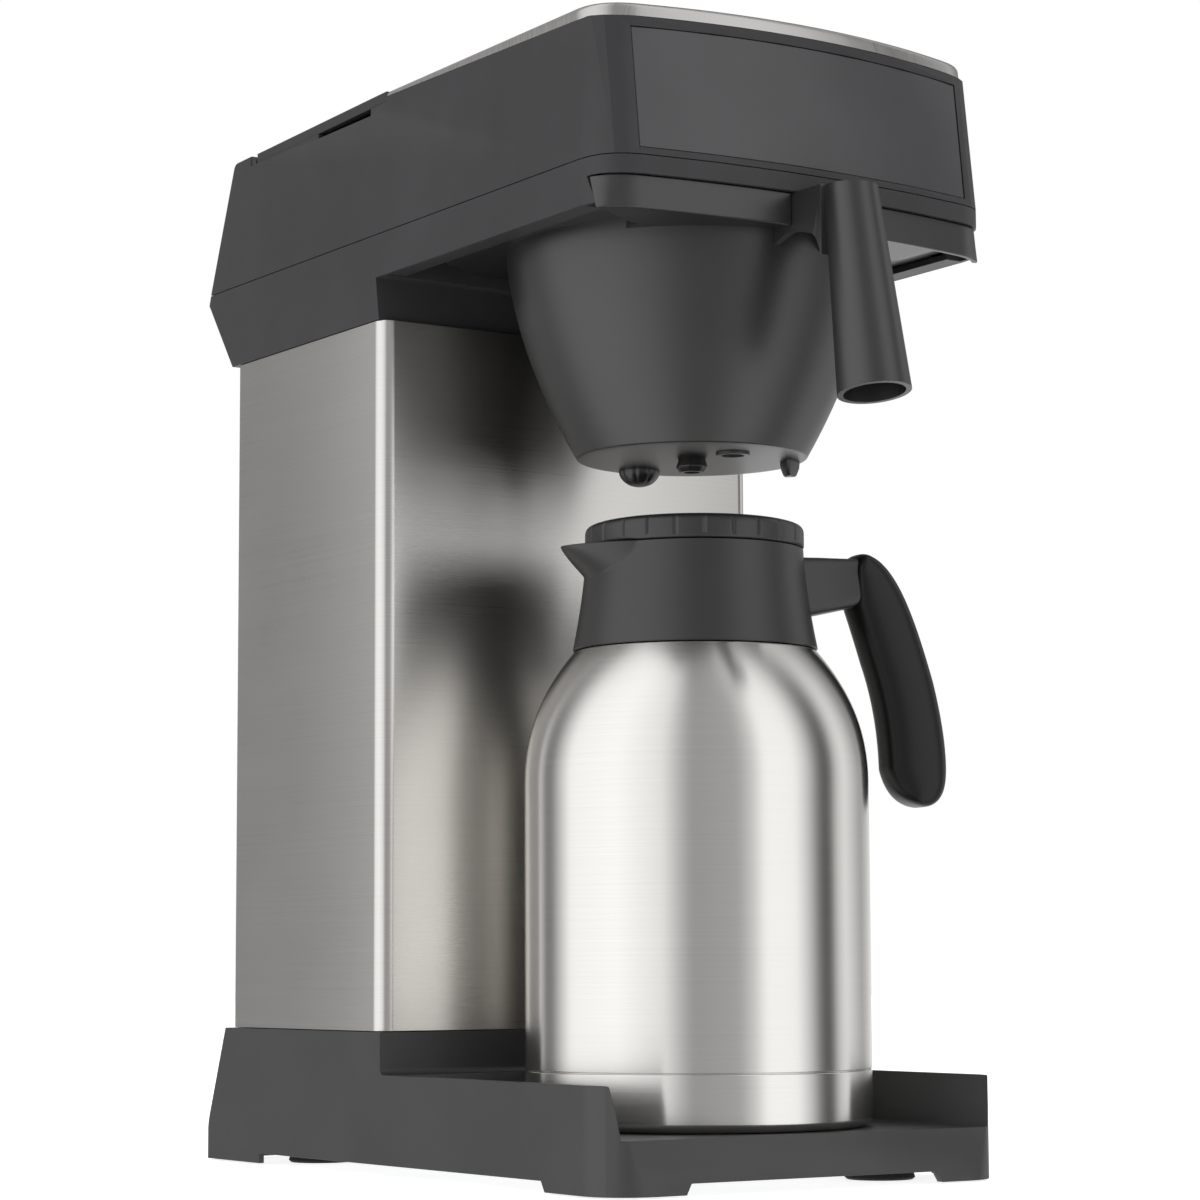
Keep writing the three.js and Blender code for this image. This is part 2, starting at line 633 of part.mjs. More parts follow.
function fillerLid() {
  const x = roofHalf - gap;
  const top = (y) => topLevel - lidFall * (y - lidFront);
  const slab = (half, y0, y1, thickness) => alongX(outline([[y0, top(y0) - thickness],
    [y1, top(y1) - thickness], [y1, top(y1)], [y0, top(y0)]]), -half, half);
  const barrelHalf = cheekInner - slideGap;
  const pocket = alongX(outline([[lidFront + wall, topLevel - 9], [lidPivotY - 12, topLevel - 12],
    [lidPivotY - 12, top(lidPivotY - 12) - wall], [lidFront + wall, top(lidFront + wall) - wall]]),
  wall + 1 - roofHalf, roofHalf - wall - 1);
  return slab(x, lidFront, lidPivotY - lidSetBack, lidThickness)
    .subtract(pocket)
    .add(cylinder('x', barrelRadius, -barrelHalf, barrelHalf, lidPivotY, lidPivotZ, 28))
    .add(slab(barrelHalf - 0.2, lidPivotY - lidSetBack - 2, lidPivotY, wall))
    .subtract(cylinder('x', pinBore, barrelHalf - 9, barrelHalf + 1, lidPivotY, lidPivotZ, 16))
    .subtract(cylinder('x', pinBore, -barrelHalf - 1, 9 - barrelHalf, lidPivotY, lidPivotZ, 16));
}

function hingePin(side) {
  const ends = [cheekInner + 4.6, cheekInner + 4.6 - pinLength].map((v) => v * side);
  return cylinder('x', pinRadius, Math.min(...ends), Math.max(...ends), lidPivotY, lidPivotZ, 16);
}

piece('hood_shell', hoodShell(), 'housing', leanBack);
piece('fascia_panel', fasciaPanel(), 'fascia', leanBack);
piece('top_plate', topPlate(), 'steel', leanBack);
piece('filler_lid', fillerLid(), 'housing');
piece('lid_pin_left', hingePin(-1), 'zinc');
piece('lid_pin_right', hingePin(1), 'zinc');

// ---- water path ---------------------------------------------------------------------------
const heaterTop = heaterBottom + heaterHeight;
const heaterInletZ = heaterBottom + 20;
const valveZ = (tankBottom + heaterInletZ) / 2 + 12;
const stubLength = 12;

function waterTank() {
  const y1 = tankFront + tankDepth;
  const body = (inset, z0, z1) => alongZ(outline([[inset - tankHalf, tankFront + inset, 8],
    [tankHalf - inset, tankFront + inset, 8], [tankHalf - inset, y1 - inset, 8],
    [inset - tankHalf, y1 - inset, 8]]), z0, z1);
  const flangeHalf = housingHalf - wall - 0.6;
  return body(0, tankBottom, tankTop)
    .add(box(-flangeHalf, flangeHalf, tankFront, y1, tankFlangeZ, tankFlangeZ + 2.4))
    .subtract(cylinder('z', riserRadius + 0.6, tankFlangeZ - 1, tankFlangeZ + 4, riserX, serviceY))
    .subtract(body(tankWall, tankBottom + tankWall, tankTop + 1))
    .add(cylinder('z', stubRadius, tankBottom - stubLength, tankBottom + 1, inletX, serviceY))
    .subtract(cylinder('z', inletBore, tankBottom - stubLength - 1, tankBottom + 5, inletX, serviceY));
}

function sleeve(radius, bore, z0, z1, x, y) {
  return turnedTube([[radius, z0], [radius, z1]], [[bore, z0], [bore, z1]], x, y, 18);
}

function checkValve() {
  const reach = 14 + 20;
  return cylinder('z', valveRadius, valveZ - 14, valveZ + 14, inletX, serviceY)
    .add(cylinder('z', stubRadius, valveZ - reach, valveZ + reach, inletX, serviceY))
    .subtract(cylinder('z', inletBore, valveZ - reach - 1, valveZ + reach + 1, inletX, serviceY));
}

function flowHeater() {
  const r = heaterRadius;
  const top = heaterTop;
  const outer = turned([[0, heaterBottom], [r - 4, heaterBottom], [r, heaterBottom + 4],
    [r, top - 4], [r - 4, top], [0, top]], 0, serviceY, 28);
  const inner = turned([[0, heaterBottom + heaterWall], [r - heaterWall, heaterBottom + heaterWall],
    [r - heaterWall, top - heaterWall], [0, top - heaterWall]], 0, serviceY, 28);
  return outer
    .add(cylinder('z', outletRadius, top - 1, top + 22, 0, serviceY, 16))
    .add(cylinder('x', stubRadius, inletX + inletHoseBend, -r + 1, serviceY, heaterInletZ, 16))
    .subtract(inner)
    .subtract(cylinder('z', outletBore, top - heaterWall - 1, top + 23, 0, serviceY, 12))
    .subtract(cylinder('x', inletBore, inletX + inletHoseBend - 1, -r + heaterWall + 1, serviceY,
      heaterInletZ, 16));
}

class Helix extends THREE.Curve {
  getPoint(t, target = new THREE.Vector3()) {
    const angle = 2 * Math.PI * coilTurns * t;
    const r = heaterRadius + coilWire + coilClear;
    return target.set(r * Math.cos(angle), serviceY + r * Math.sin(angle),
      heaterInletZ + 16 + coilPitch * coilTurns * t);
  }
}

function heatingCoil() {
  const section = new THREE.Shape().absarc(0, 0, coilWire, 0, 2 * Math.PI);
  return solid(new THREE.ExtrudeGeometry(section, {
    extrudePath: new Helix(), steps: 10 * coilTurns, curveSegments: 3, bevelEnabled: false,
  }));
}

function heaterBracket() {
  const z0 = blockTop + gap;
  const out = heaterRadius + 0.4;
  let bracket = box(-60.5, 60.5, serviceY - 47.5, serviceY - 28, z0, z0 + 2)
    .add(box(-60.5, 60.5, serviceY + 28, serviceY + 58.5, z0, z0 + 2))
    .add(box(-34, 34, serviceY - 30, serviceY + 30, z0, z0 + 2));
  for (const side of [-1, 1]) {
    const leg = [out, out + 2].map((v) => serviceY + side * v).sort((a, b) => a - b);
    const lip = [out - 7, out + 2].map((v) => serviceY + side * v).sort((a, b) => a - b);
    bracket = bracket.add(box(-12, 12, ...leg, z0, heaterBottom + 20))
      .add(box(-12, 12, ...lip, heaterBottom - 2.4, heaterBottom - 0.4));
  }
  return bracket;
}

function lowerHose() {
  return pipe([[inletX, serviceY, valveZ - 16], [inletX, serviceY, heaterInletZ],
    [-heaterRadius - 3, serviceY, heaterInletZ]], inletHoseBend, inletHoseRadius,
  stubRadius + hoseSlack, 14, 5);
}

function riserHose() {
  const high = seam + 22;
  return pipe([[0, serviceY, heaterTop + 4], [0, serviceY, tankBottom - 45],
    [riserX, serviceY, tankBottom - 45], [riserX, serviceY, high], [riserX, basketY, high],
    [0, basketY, high], [0, basketY, seam - 1]], 15, riserRadius, outletRadius + hoseSlack, 56, 4);
}

function sprayHead() {
  const z0 = deckBottom - 0.3;
  const flange = deckBottom + deckThickness + gap;
  let head = turned([[0, z0], [sprayRadius - 1, z0], [sprayRadius, z0 + 1], [sprayRadius, flange],
    [sprayRadius + 6, flange], [sprayRadius + 6, flange + 2], [outletRadius, flange + 2],
    [outletRadius, flange + 8], [0, flange + 8]], 0, basketY, 28)
    .subtract(cylinder('z', sprayRadius - 3, z0 + 1.5, flange, 0, basketY, 24))
    .subtract(cylinder('z', outletBore, z0 + 1.5, flange + 9, 0, basketY, 12));
  for (let i = 0; i < sprayHoles; i += 1) {
    const a = (2 * i * Math.PI) / sprayHoles;
    head = head.subtract(cylinder('z', sprayHoleRadius, z0 - 1, z0 + 3, sprayRing * Math.cos(a),
      basketY + sprayRing * Math.sin(a), 10));
  }
  return head;
}

function terminalBlock() {
  const [x0, y0, z0] = [-58, serviceY + 34, blockTop + gap + 2 + gap];
  let block = box(x0, x0 + 42, y0, y0 + 18, z0, z0 + 17);
  for (let i = 0; i < 3; i += 1) {
    block = block.subtract(cylinder('z', 3, z0 + 8, z0 + 18, x0 + 8 + 13 * i, y0 + 9, 12));
  }
  return block;
}

const clampWidth = 7;
const clamps = [
  ['hose_clamp_tank', inletX, inletHoseRadius, tankBottom - stubLength + 2],
  ['hose_clamp_valve_top', inletX, inletHoseRadius, valveZ + 22],
  ['hose_clamp_valve_foot', inletX, inletHoseRadius, valveZ - 30],
  ['hose_clamp_heater', 0, riserRadius, heaterTop + 10],
];

piece('water_tank', waterTank(), 'tank');
piece('inlet_hose_upper', sleeve(inletHoseRadius, stubRadius + hoseSlack, valveZ + 15, tankBottom - 2,
  inletX, serviceY), 'silicone');
piece('check_valve', checkValve(), 'white');
piece('inlet_hose_lower', lowerHose(), 'silicone');
piece('flow_heater', flowHeater(), 'aluminium');
piece('heating_coil', heatingCoil(), 'steel');
piece('heater_bracket', heaterBracket(), 'zinc');
piece('riser_hose', riserHose(), 'silicone');
piece('spray_head', sprayHead(), 'white');
const sensorZ = heaterTop - 20;
piece('thermostat', cylinder('y', 8, serviceY - heaterRadius - gap - 7, serviceY - heaterRadius - gap,
  0, sensorZ, 20), 'white');
piece('thermal_fuse', cylinder('x', 2.6, -10, 10, serviceY + heaterRadius + 3.1, sensorZ, 12), 'zinc');
piece('terminal_block', terminalBlock(), 'white');
clamps.forEach(([name, x, radius, z]) => {
  piece(name, sleeve(radius + gap + 1, radius + gap, z, z + clampWidth, x, serviceY), 'zinc');
});

// ---- power switch ---------------------------------------------------------------------------
const bezelFace = housingHalf + gap + 1.5;
const rockerPivotX = housingHalf - 3;
const rockerAngle = 0.105;      // the rocker's face is folded this much about its middle

function switchFrame() {
  const x = housingHalf;
  return box(x - 16, x + 1, switchY - 6, switchY + 6, switchZ - 9, switchZ + 9)
    .add(box(x + gap, bezelFace, switchY - 7.5, switchY + 7.5, switchZ - 10.5, switchZ + 10.5))
    .subtract(box(x - 10, x + 3, switchY - 5.2, switchY + 5.2, switchZ - 8.4, switchZ + 8.4));
}

function powerRocker() {
  const rise = rockerHalf * Math.tan(rockerAngle);
  const px = rockerPivotX;
  const face = new THREE.Shape();
  face.moveTo(px - 3, switchZ - rockerHalf);
  face.lineTo(px + 2.2, switchZ - rockerHalf);
  face.lineTo(px + 2.2 + rise * 0.2, switchZ);
  face.lineTo(px + 2.2 + 2 * rise, switchZ + rockerHalf);
  face.lineTo(px - 3, switchZ + rockerHalf);
  const half = rockerWidth / 2 - 0.9;
  return alongY(face, switchY - half, switchY + half);
}

piece('switch_frame', switchFrame(), 'rocker');
piece('power_rocker', powerRocker(), 'rocker');

// ---- filter basket --------------------------------------------------------------------------

// The bowl's outer wall from its floor up: steep near the rim, drawn in towards the floor.
function bowlWallPoints(inset, steps = 6) {
  const points = [];
  for (let i = 0; i <= steps; i += 1) {
    const t = i / steps;
    const grow = 1 - (1 - t) ** bowlCurve;
    const radius = bowlFloorRadius + (bowlRadius - bowlFloorRadius) * grow;
    points.push([radius - inset, bowlBottom + inset + (bowlHeight - inset) * t]);
  }
  return points;
}

const apronFace = -frontBulge + apronBack;
const flangeBottom = ledgeTop + gap;
const apronBottom = apronTop - apronHeight;

function bowlBody(inset) {
  return turned([[0, bowlBottom + inset], ...bowlWallPoints(inset), [0, bowlTop]], 0, basketY, 40);
}

function filterBasket() {
  const half = housingHalf;
  const band = (inset, y1) => alongZ(housingPlan(half, apronFace, y1, inset), apronBottom, apronTop, 5);
  const cut = alongX(outline([[-40, apronBottom], [skirtFrontFoot - 1.6, apronBottom],
    [skirtFrontTop - 0.6, apronTop], [-40, apronTop]]), -half, half);
  const apron = band(0, 60).subtract(band(wall, 61)).intersect(cut);
  const flange = alongZ(outline([[4 - half, basketY - 76], [half - 4, basketY - 76],
    [half - 4, basketY + bowlRadius + 6, 55], [4 - half, basketY + bowlRadius + 6, 55]]),
  flangeBottom, flangeBottom + flangeThickness, 5);
  const shelf = alongZ(housingPlan(half, apronFace, basketY, 1.2), flangeBottom,
    flangeBottom + flangeThickness, 5).intersect(box(4 - half, half - 4, -40, basketY - 70, 0, topLevel));
  let basket = joined(bowlBody(0), apron, flange, shelf)
    .add(turned([[0, bowlBottom - outletHeight], [5.6, bowlBottom - outletHeight],
      [7.2, bowlBottom - outletHeight + 2.4], [5.6, bowlBottom + 1], [0, bowlBottom + 1]],
    0, basketY, 16))
    .add(turned([[0, bowlBottom - 1.2], [7.7, bowlBottom - 1.2], [7.7, bowlBottom + 1],
      [0, bowlBottom + 1]], 4.5, basketY - 26, 20));
  const rearFoot = [];
  for (let i = 0; i <= 6; i += 1) {
    const a = (i * Math.PI) / 12;
    rearFoot.push([9.7 * Math.sin(a), bowlBottom - 7.5 * Math.cos(a)]);
  }
  basket = basket.add(turned([...rearFoot, [9.7, bowlBottom + 1], [0, bowlBottom + 1]],
    0, basketY + 43, 20));
  const fin = alongZ(outline([[36, basketY - 26], [48, basketY - 20], [41, basketY - 11, 2]]),
    bowlBottom - 7, bowlBottom + 1)
    .intersect(alongX(outline([[basketY - 30, bowlBottom + 1], [basketY - 24, bowlBottom - 7],
      [basketY - 18, bowlBottom - 7], [basketY - 8, bowlBottom + 1]]), 30, 50));
  return basket.add(fin)
    .subtract(bowlBody(bowlWall).add(cylinder('z', bowlRadius - bowlWall, bowlTop - 1, bowlTop + 1,
      0, basketY, 40)))
    .subtract(cylinder('z', 3.6, bowlBottom - outletHeight - 1, bowlBottom + 5, 0, basketY, 12))
    .subtract(cylinder('z', 5.2, bowlBottom - 3, bowlBottom + 0.8, 4.5, basketY - 26, 16))
    .subtract(box(-rootHalf - gap, rootHalf + gap, -40, basketY - bowlRadius + 1,
      apronBottom - 1, apronTop + 1));
}

function basketHandle() {
  const top = apronTop;
  const lean = (geometryPoints, sides) => {
    const profile = geometryPoints.map(([r, z]) => new THREE.Vector2(r, z));
    return solid(new THREE.LatheGeometry(profile, sides).rotateX(Math.PI / 2)
      .rotateX(-handleLean).translate(0, handleTopY, top - 6));
  };
  const tube = lean([[0, 12], [handleTopRadius - 0.4, 12], [handleTopRadius, 0],
    [handleEndRadius, -handleLength], [handleEndRadius - handleWall, -handleLength],
    [handleTopRadius - handleWall, -6], [0, -4]], 32);
  const root = box(-rootHalf, rootHalf, handleTopY + 4, basketY - bowlRadius + 12,
    top - 31, top);
  const arch = alongX(outline([[handleTopY - 4, top - 40], [basketY - bowlRadius + 22, top - 40],
    [basketY - bowlRadius + 10, top - 23, 6], [-6, top - 16.5, 16], [handleTopY + 9, top - 21, 8],
    [handleTopY + 4, top - 32]]), -rootHalf - 1, rootHalf + 1, 4);
  const hollow = box(-rootHalf + 3, rootHalf - 3, handleTopY + 10, basketY, top - 40, top - 12.5);
  const bowl = turned([[0, bowlBottom - 20], ...bowlWallPoints(-gap), [bowlRadius + gap, bowlTop + 9],
    [0, bowlTop + 9]], 0, basketY, 40);
  const shelf = box(-housingHalf, housingHalf, apronFace + wall + gap, basketY, flangeBottom - gap,
    flangeBottom + flangeThickness + gap)
    .subtract(box(-rootHalf - 1, rootHalf + 1, -40, basketY - bowlRadius + 1, 0, topLevel));
  return root.subtract(arch).subtract(hollow)
    .subtract(lean([[0, -3], [handleTopRadius - handleWall, -5],
      [handleEndRadius - handleWall, -handleLength], [0, -handleLength]], 32))
    .add(tube).subtract(bowl).subtract(shelf)
    .intersect(box(-30, 30, -90, 60, bowlBottom - 20, top));
}

const gridRows = 5;
const gridPitch = 8;
const gridFirst = 7;
const gridSlot = 2;             // half of a slot's width

function basketGrid() {
  const z0 = bowlBottom + bowlWall + gap;
  let grid = cylinder('z', bowlFloorRadius - 3, z0, z0 + 2, 0, basketY, 36)
    .subtract(cylinder('z', 5, z0 - 1, z0 + 3, 0, basketY, 16));
  for (let i = 0; i < gridRows; i += 1) {
    for (const side of [-1, 1]) {
      const out = gridFirst + gridPitch * i;
      const y = basketY + side * out;
      const half = Math.sqrt((bowlFloorRadius - 8) ** 2 - (out + gridSlot) ** 2);
      grid = grid.subtract(box(-half, -2, y - gridSlot, y + gridSlot, z0 - 1, z0 + 3))
        .subtract(box(2, half, y - gridSlot, y + gridSlot, z0 - 1, z0 + 3));
    }
  }
  return grid;
}

piece('filter_basket', filterBasket(), 'housing');
piece('basket_handle', basketHandle(), 'housing');
piece('basket_grid', basketGrid(), 'white');

// ---- jug -------------------------------------------------------------------------------------
const spoutReach = 65.4;

// The jug's shoulder: from the full radius in to the collar's foot along a quarter of a curve.
function shoulderPoints(inset) {
  const points = [];
  for (let i = 0; i <= 5; i += 1) {
    const t = i / 5;
    const radius = jugRadius - (jugRadius - collarFoot + 0.6) * t ** shoulderCurve;
    points.push([radius - inset, jugBottom + shoulderStart + shoulderHeight * t - inset * t]);
  }
  return points;
}

// Turns a piece built with the spout towards -X to the way the jug stands.
function turnedJug(body) {
  const { vertProperties, triVerts } = body.getMesh();
  const geometry = new THREE.BufferGeometry();
  geometry.setAttribute('position', new THREE.BufferAttribute(vertProperties, 3));
  geometry.setIndex(new THREE.BufferAttribute(triVerts, 1));
  return solid(geometry.rotateZ(jugHandleTurn).translate(0, jugY, 0));
}

function jugBaseCap() {
  const r = jugRadius;
  return turned([[0, jugBottom + 2], [r - 18, jugBottom + 2], [r - 14, jugBottom],
    [r - 3, jugBottom], [r, jugBottom + 3], [r, capTop - gap], [r - steel - gap, capTop - gap],
    [r - steel - gap, capTop + 7], [r - 2 * steel - gap, capTop + 7],
    [r - 2 * steel - gap, jugBottom + 5], [r - 5, jugBottom + 3.2], [0, jugBottom + 3.2]], 0, jugY, 40);
}

function jugShell() {
  const neckFoot = shoulderTop + 6;
  return turnedTube(
    [[jugRadius, capTop], ...shoulderPoints(0), [collarFoot - 3.4, shoulderTop + 0.4],
      [neckRadius, neckFoot], [neckRadius, collarTop - 4]],
    [[jugRadius - steel, capTop], ...shoulderPoints(steel),
      [collarFoot - 3.4 - steel, shoulderTop - 0.4], [neckRadius - steel, neckFoot - 0.8],
      [neckRadius - steel, collarTop - 4]], 0, jugY, 40);
}

function jugFlask() {
  const r = jugRadius - 7;
  const neck = neckRadius - steel - gap;
  const floor = capTop + 9;
  const top = collarTop - 3;
  const wallPoints = (inset) => {
    const points = [[r - 8 - inset, floor + inset], [r - inset, floor + 8]];
    for (let i = 0; i <= 4; i += 1) {
      const t = i / 4;
      points.push([r - (r - neck) * t ** 2.2 - inset, flaskWeldHigh + 46 * t - inset * t]);
    }
    return points;
  };
  return turned([[0, floor], ...wallPoints(0), [neck, top], [neck - steel, top],
    ...wallPoints(steel).reverse(), [0, floor + steel]], 0, jugY, 32);
}

// One of the flask's three pressings, the part of it between two heights.
function flaskPressing(low, high) {
  return jugFlask().trimByPlane([0, 0, 1], low + gap / 2).trimByPlane([0, 0, -1], gap / 2 - high);
}

// Collar with the pouring lip towards -X and the handle's arm towards +X, before turning.
function jugCollar() {
  const foot = shoulderTop + 0.7;
  const ring = turnedTube(
    [[collarFoot, foot], [collarFoot - 1.8, foot + 10], [collarTopRadius + 1.3, collarTop - 18],
      [collarTopRadius, collarTop]],
    [[collarFoot - 2.6, foot], [neckRadius + 0.5, foot + 6.5], [neckRadius + gap, collarTop - 10],
      [neckRadius + gap, collarTop]], 0, 0, 40);
  const reach = spoutReach;
  const beakPlan = (inset) => outline([[-34, -36 + inset], [-34, 36 - inset], [-46, 31 - inset],
    [inset * 1.7 - reach, 0, 1.2], [-46, inset - 31]]);
  const beak = alongZ(beakPlan(0), collarTop - 25, collarTop).intersect(
    alongY(outline([[-reach, collarTop], [-reach + 0.8, collarTop - 1.6],
      [4 - collarTopRadius, collarTop - 22], [-30, collarTop - 22], [-30, collarTop]]), -40, 40))
    .subtract(cylinder('z', neckRadius + 1, collarTop - 30, collarTop + 1, 0, 0, 40));
  const channel = alongZ(beakPlan(2), collarTop - 8, collarTop + 1).intersect(
    alongY(outline([[-reach + 2, collarTop + 1], [-reach + 3, collarTop - 0.8],
      [-collarTopRadius, collarTop - 8], [-30, collarTop - 8], [-30, collarTop + 1]]), -40, 40));
  const arm = alongY(outline([[neckRadius + 2, collarTop - 1.2], [gripReach - 42.4, collarTop - 1.2],
    [gripReach - 39.8, collarTop - 20], [gripReach - 47, collarTop - 23.4, 6],
    [collarTopRadius + 8, collarTop - 28.4, 6], [neckRadius + 2, collarTop - 32]]),
  -armWidth / 2, armWidth / 2, 4)
    .add(box(gripReach - 43, gripReach - 30, -5, 5, collarTop - 18, collarTop - 6))
    .subtract(turned([[0, foot - 30], [neckRadius + 3, foot - 1], [neckRadius + 3, collarTop + 1],
      [0, collarTop + 1]], 0, 0, 40));
  return turnedJug(ring.add(beak).subtract(channel).add(arm));
}

// The paddle grip's side view, hung on the end of the arm.
function jugGrip() {
  const r = gripReach;
  const z = collarTop;
  const side = new THREE.Shape();
  side.moveTo(r - 41.7, z - 0.8);
  side.lineTo(r - 45, z - 0.6);
  side.quadraticCurveTo(r - 44.2, z + 2, r - 40, z + 1.4);
  side.bezierCurveTo(r - 24, z - 2, r - 15, z - 28, r - 6, z - 58);
  side.quadraticCurveTo(r, z - 82, r, z - 97);
  side.quadraticCurveTo(r, z - 116, r - 12, z - 116.4);
  side.quadraticCurveTo(r - 26, z - 115, r - 30.4, z - 99);
  side.quadraticCurveTo(r - 31, z - 72, r - 39, z - 50);
  side.lineTo(r - 47, z - 26);
  side.lineTo(r - 47, z - 24);
  side.lineTo(r - 39.4, z - 20.4);
  const half = gripWidth / 2;
  return turnedJug(alongY(side, -half, half, 4)
    .subtract(box(r - 50, r - 29.7, -5.3, 5.3, z - 18.3, z - 5.7)));
}

function jugLid() {
  const z0 = collarTop + gap;
  const z1 = z0 + jugLidHeight;
  const r = jugLidRadius;
  return turned([[0, z0], [r - 0.8, z0], [r, z0 + 0.8], [r, z1 - 3.5], [r - 1.2, z1 - 1],
    [r - 4, z1], [r - 8, z1 - 0.6], [10, z1 - 4], [0, z1 - 4.4]], 0, jugY, 40)
    .subtract(cylinder('z', brewBore, z0 - 1, z1 + 1, 0, jugY, 16));
}

const sealRadius = neckRadius - 2 * steel - gap - 0.3;
const sealZ = collarTop - 16;

function jugStopper() {
  const z1 = collarTop;
  const z0 = z1 - 26;
  const r = sealRadius - 2;
  return turned([[0, z0], [r, z0], [r, sealZ - 3], [sealRadius - 0.4, sealZ - 3],
    [sealRadius - 0.4, sealZ - gap], [r, sealZ - gap], [r, sealZ + 4 + gap],
    [sealRadius - 0.4, sealZ + 4 + gap], [sealRadius - 0.4, sealZ + 7], [r, sealZ + 7],
    [r, z1], [0, z1]], 0, jugY, 32)
    .subtract(turnedTube([[9, z0 + 2.5], [9, z1 + 1]], [[r - 2, z0 + 2.5], [r - 2, z1 + 1]],
      0, jugY, 40))
    .subtract(cylinder('z', brewBore, z0 - 1, z1 + 1, 0, jugY, 16));
}

function lidSeal() {
  const inner = sealRadius - 2 + gap;
  return turnedTube([[sealRadius, sealZ], [sealRadius, sealZ + 4]], [[inner, sealZ],
    [inner, sealZ + 4]], 0, jugY, 32);
}

piece('jug_base_cap', jugBaseCap(), 'jug');
piece('jug_shell', jugShell(), 'jug');
piece('jug_flask_cup', flaskPressing(capTop, flaskWeldLow), 'jug');
piece('jug_flask_sleeve', flaskPressing(flaskWeldLow, flaskWeldHigh), 'jug');
piece('jug_flask_neck', flaskPressing(flaskWeldHigh, collarTop), 'jug');
piece('jug_collar', jugCollar(), 'collar');
piece('jug_grip', jugGrip(), 'grip');
piece('jug_lid', jugLid(), 'collar');
piece('jug_stopper', jugStopper(), 'collar');
piece('lid_seal', lidSeal(), 'silicone');

// ---- origin at the bottom centre of the bounding box -------------------------------------------
const extent = new THREE.Box3().setFromObject(machine);
machine.position.set(-(extent.min.x + extent.max.x) / 2, -(extent.min.y + extent.max.y) / 2,
  -extent.min.z);

export default pose;
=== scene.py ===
"""Drip coffee maker with a vacuum jug: the looks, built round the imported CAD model.

Everything is in the row frame, in metres. Shapes are worked out in the machine's own millimetres
(x = 0 on its symmetry plane, y = 0 at the base's front edge, z = 0 on the table) and put in the
row frame by `row`, whose shift comes from the column's box.
"""
import json
import math

import bmesh
import bpy
import numpy as np
from mathutils import Matrix, Vector

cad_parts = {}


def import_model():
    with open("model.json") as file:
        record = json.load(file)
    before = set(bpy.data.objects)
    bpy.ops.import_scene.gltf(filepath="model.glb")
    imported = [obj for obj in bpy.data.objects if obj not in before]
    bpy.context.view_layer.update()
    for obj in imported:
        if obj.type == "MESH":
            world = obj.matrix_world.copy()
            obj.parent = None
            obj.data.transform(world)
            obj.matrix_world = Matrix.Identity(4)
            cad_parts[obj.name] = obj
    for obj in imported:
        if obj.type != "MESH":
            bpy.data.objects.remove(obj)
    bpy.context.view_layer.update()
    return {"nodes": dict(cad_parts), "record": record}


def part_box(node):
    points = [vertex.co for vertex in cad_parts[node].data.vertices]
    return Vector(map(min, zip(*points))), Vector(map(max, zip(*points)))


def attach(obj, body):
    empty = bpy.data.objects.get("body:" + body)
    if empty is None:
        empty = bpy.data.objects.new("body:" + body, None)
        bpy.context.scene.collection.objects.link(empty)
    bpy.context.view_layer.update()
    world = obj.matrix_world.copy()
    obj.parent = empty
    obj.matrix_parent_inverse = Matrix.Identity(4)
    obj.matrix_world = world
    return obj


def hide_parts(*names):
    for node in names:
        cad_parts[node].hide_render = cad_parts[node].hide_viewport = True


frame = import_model()
NODES = frame["nodes"]
TAU = 2 * math.pi

# ---- where the machine stands in the row frame ---------------------------------------------------
COLUMN_FRONT = 191.0
column_low, column_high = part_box("column_shell")
SHIFT = np.array([500 * (column_low.x + column_high.x), 1000 * column_low.y - COLUMN_FRONT, 0.0])


def row(points):
    """Machine millimetres to row-frame metres: add the shift, divide by a thousand."""
    return (np.asarray(points, float) + SHIFT) / 1000


def machine(corner):
    return np.array(corner) * 1000 - SHIFT


# ---- numpy surfaces ------------------------------------------------------------------------------
def grid(points, wrap_rows=False):
    """One surface from points[row, column]: each cell of the grid is a quad between two rows and two
    columns. Each row's last point joins its first, and with wrap_rows the last row joins the first.
    Returns corners, quads and UVs."""
    points = np.asarray(points, float)
    rows, columns = points.shape[:2]
    index = np.arange(rows * columns).reshape(rows, columns)
    a, b = np.meshgrid(np.arange(rows if wrap_rows else rows - 1), np.arange(columns), indexing="ij")
    a2, b2 = (a + 1) % rows, (b + 1) % columns
    quads = np.stack([index[a, b], index[a, b2], index[a2, b2], index[a2, b]], -1).reshape(-1, 4)
    ua, ub, ua2, ub2 = a / rows, b / columns, (a + 1) / rows, (b + 1) / columns
    uv = np.stack([np.stack([ub, ua], -1), np.stack([ub2, ua], -1),
                   np.stack([ub2, ua2], -1), np.stack([ub, ua2], -1)], 2).reshape(-1, 4, 2)
    return points.reshape(-1, 3), [tuple(q) for q in quads.tolist()], uv


def capped(points):
    """The same grid with its first and last row closed by one face each."""
    rows, columns = points.shape[:2]
    corners, faces, uv = grid(points)
    first = tuple(range(columns))
    last = tuple(range((rows - 1) * columns, rows * columns))
    return corners, faces + [first[::-1], last], uv


MERGE_NEW, MERGE_CAD = 2e-6, 3e-6   # metres within which two corners are one
NO_LENGTH = 1e-7                    # metres under which an edge is dropped
SHARP = 34.0                        # degrees past which an edge is not shaded smooth


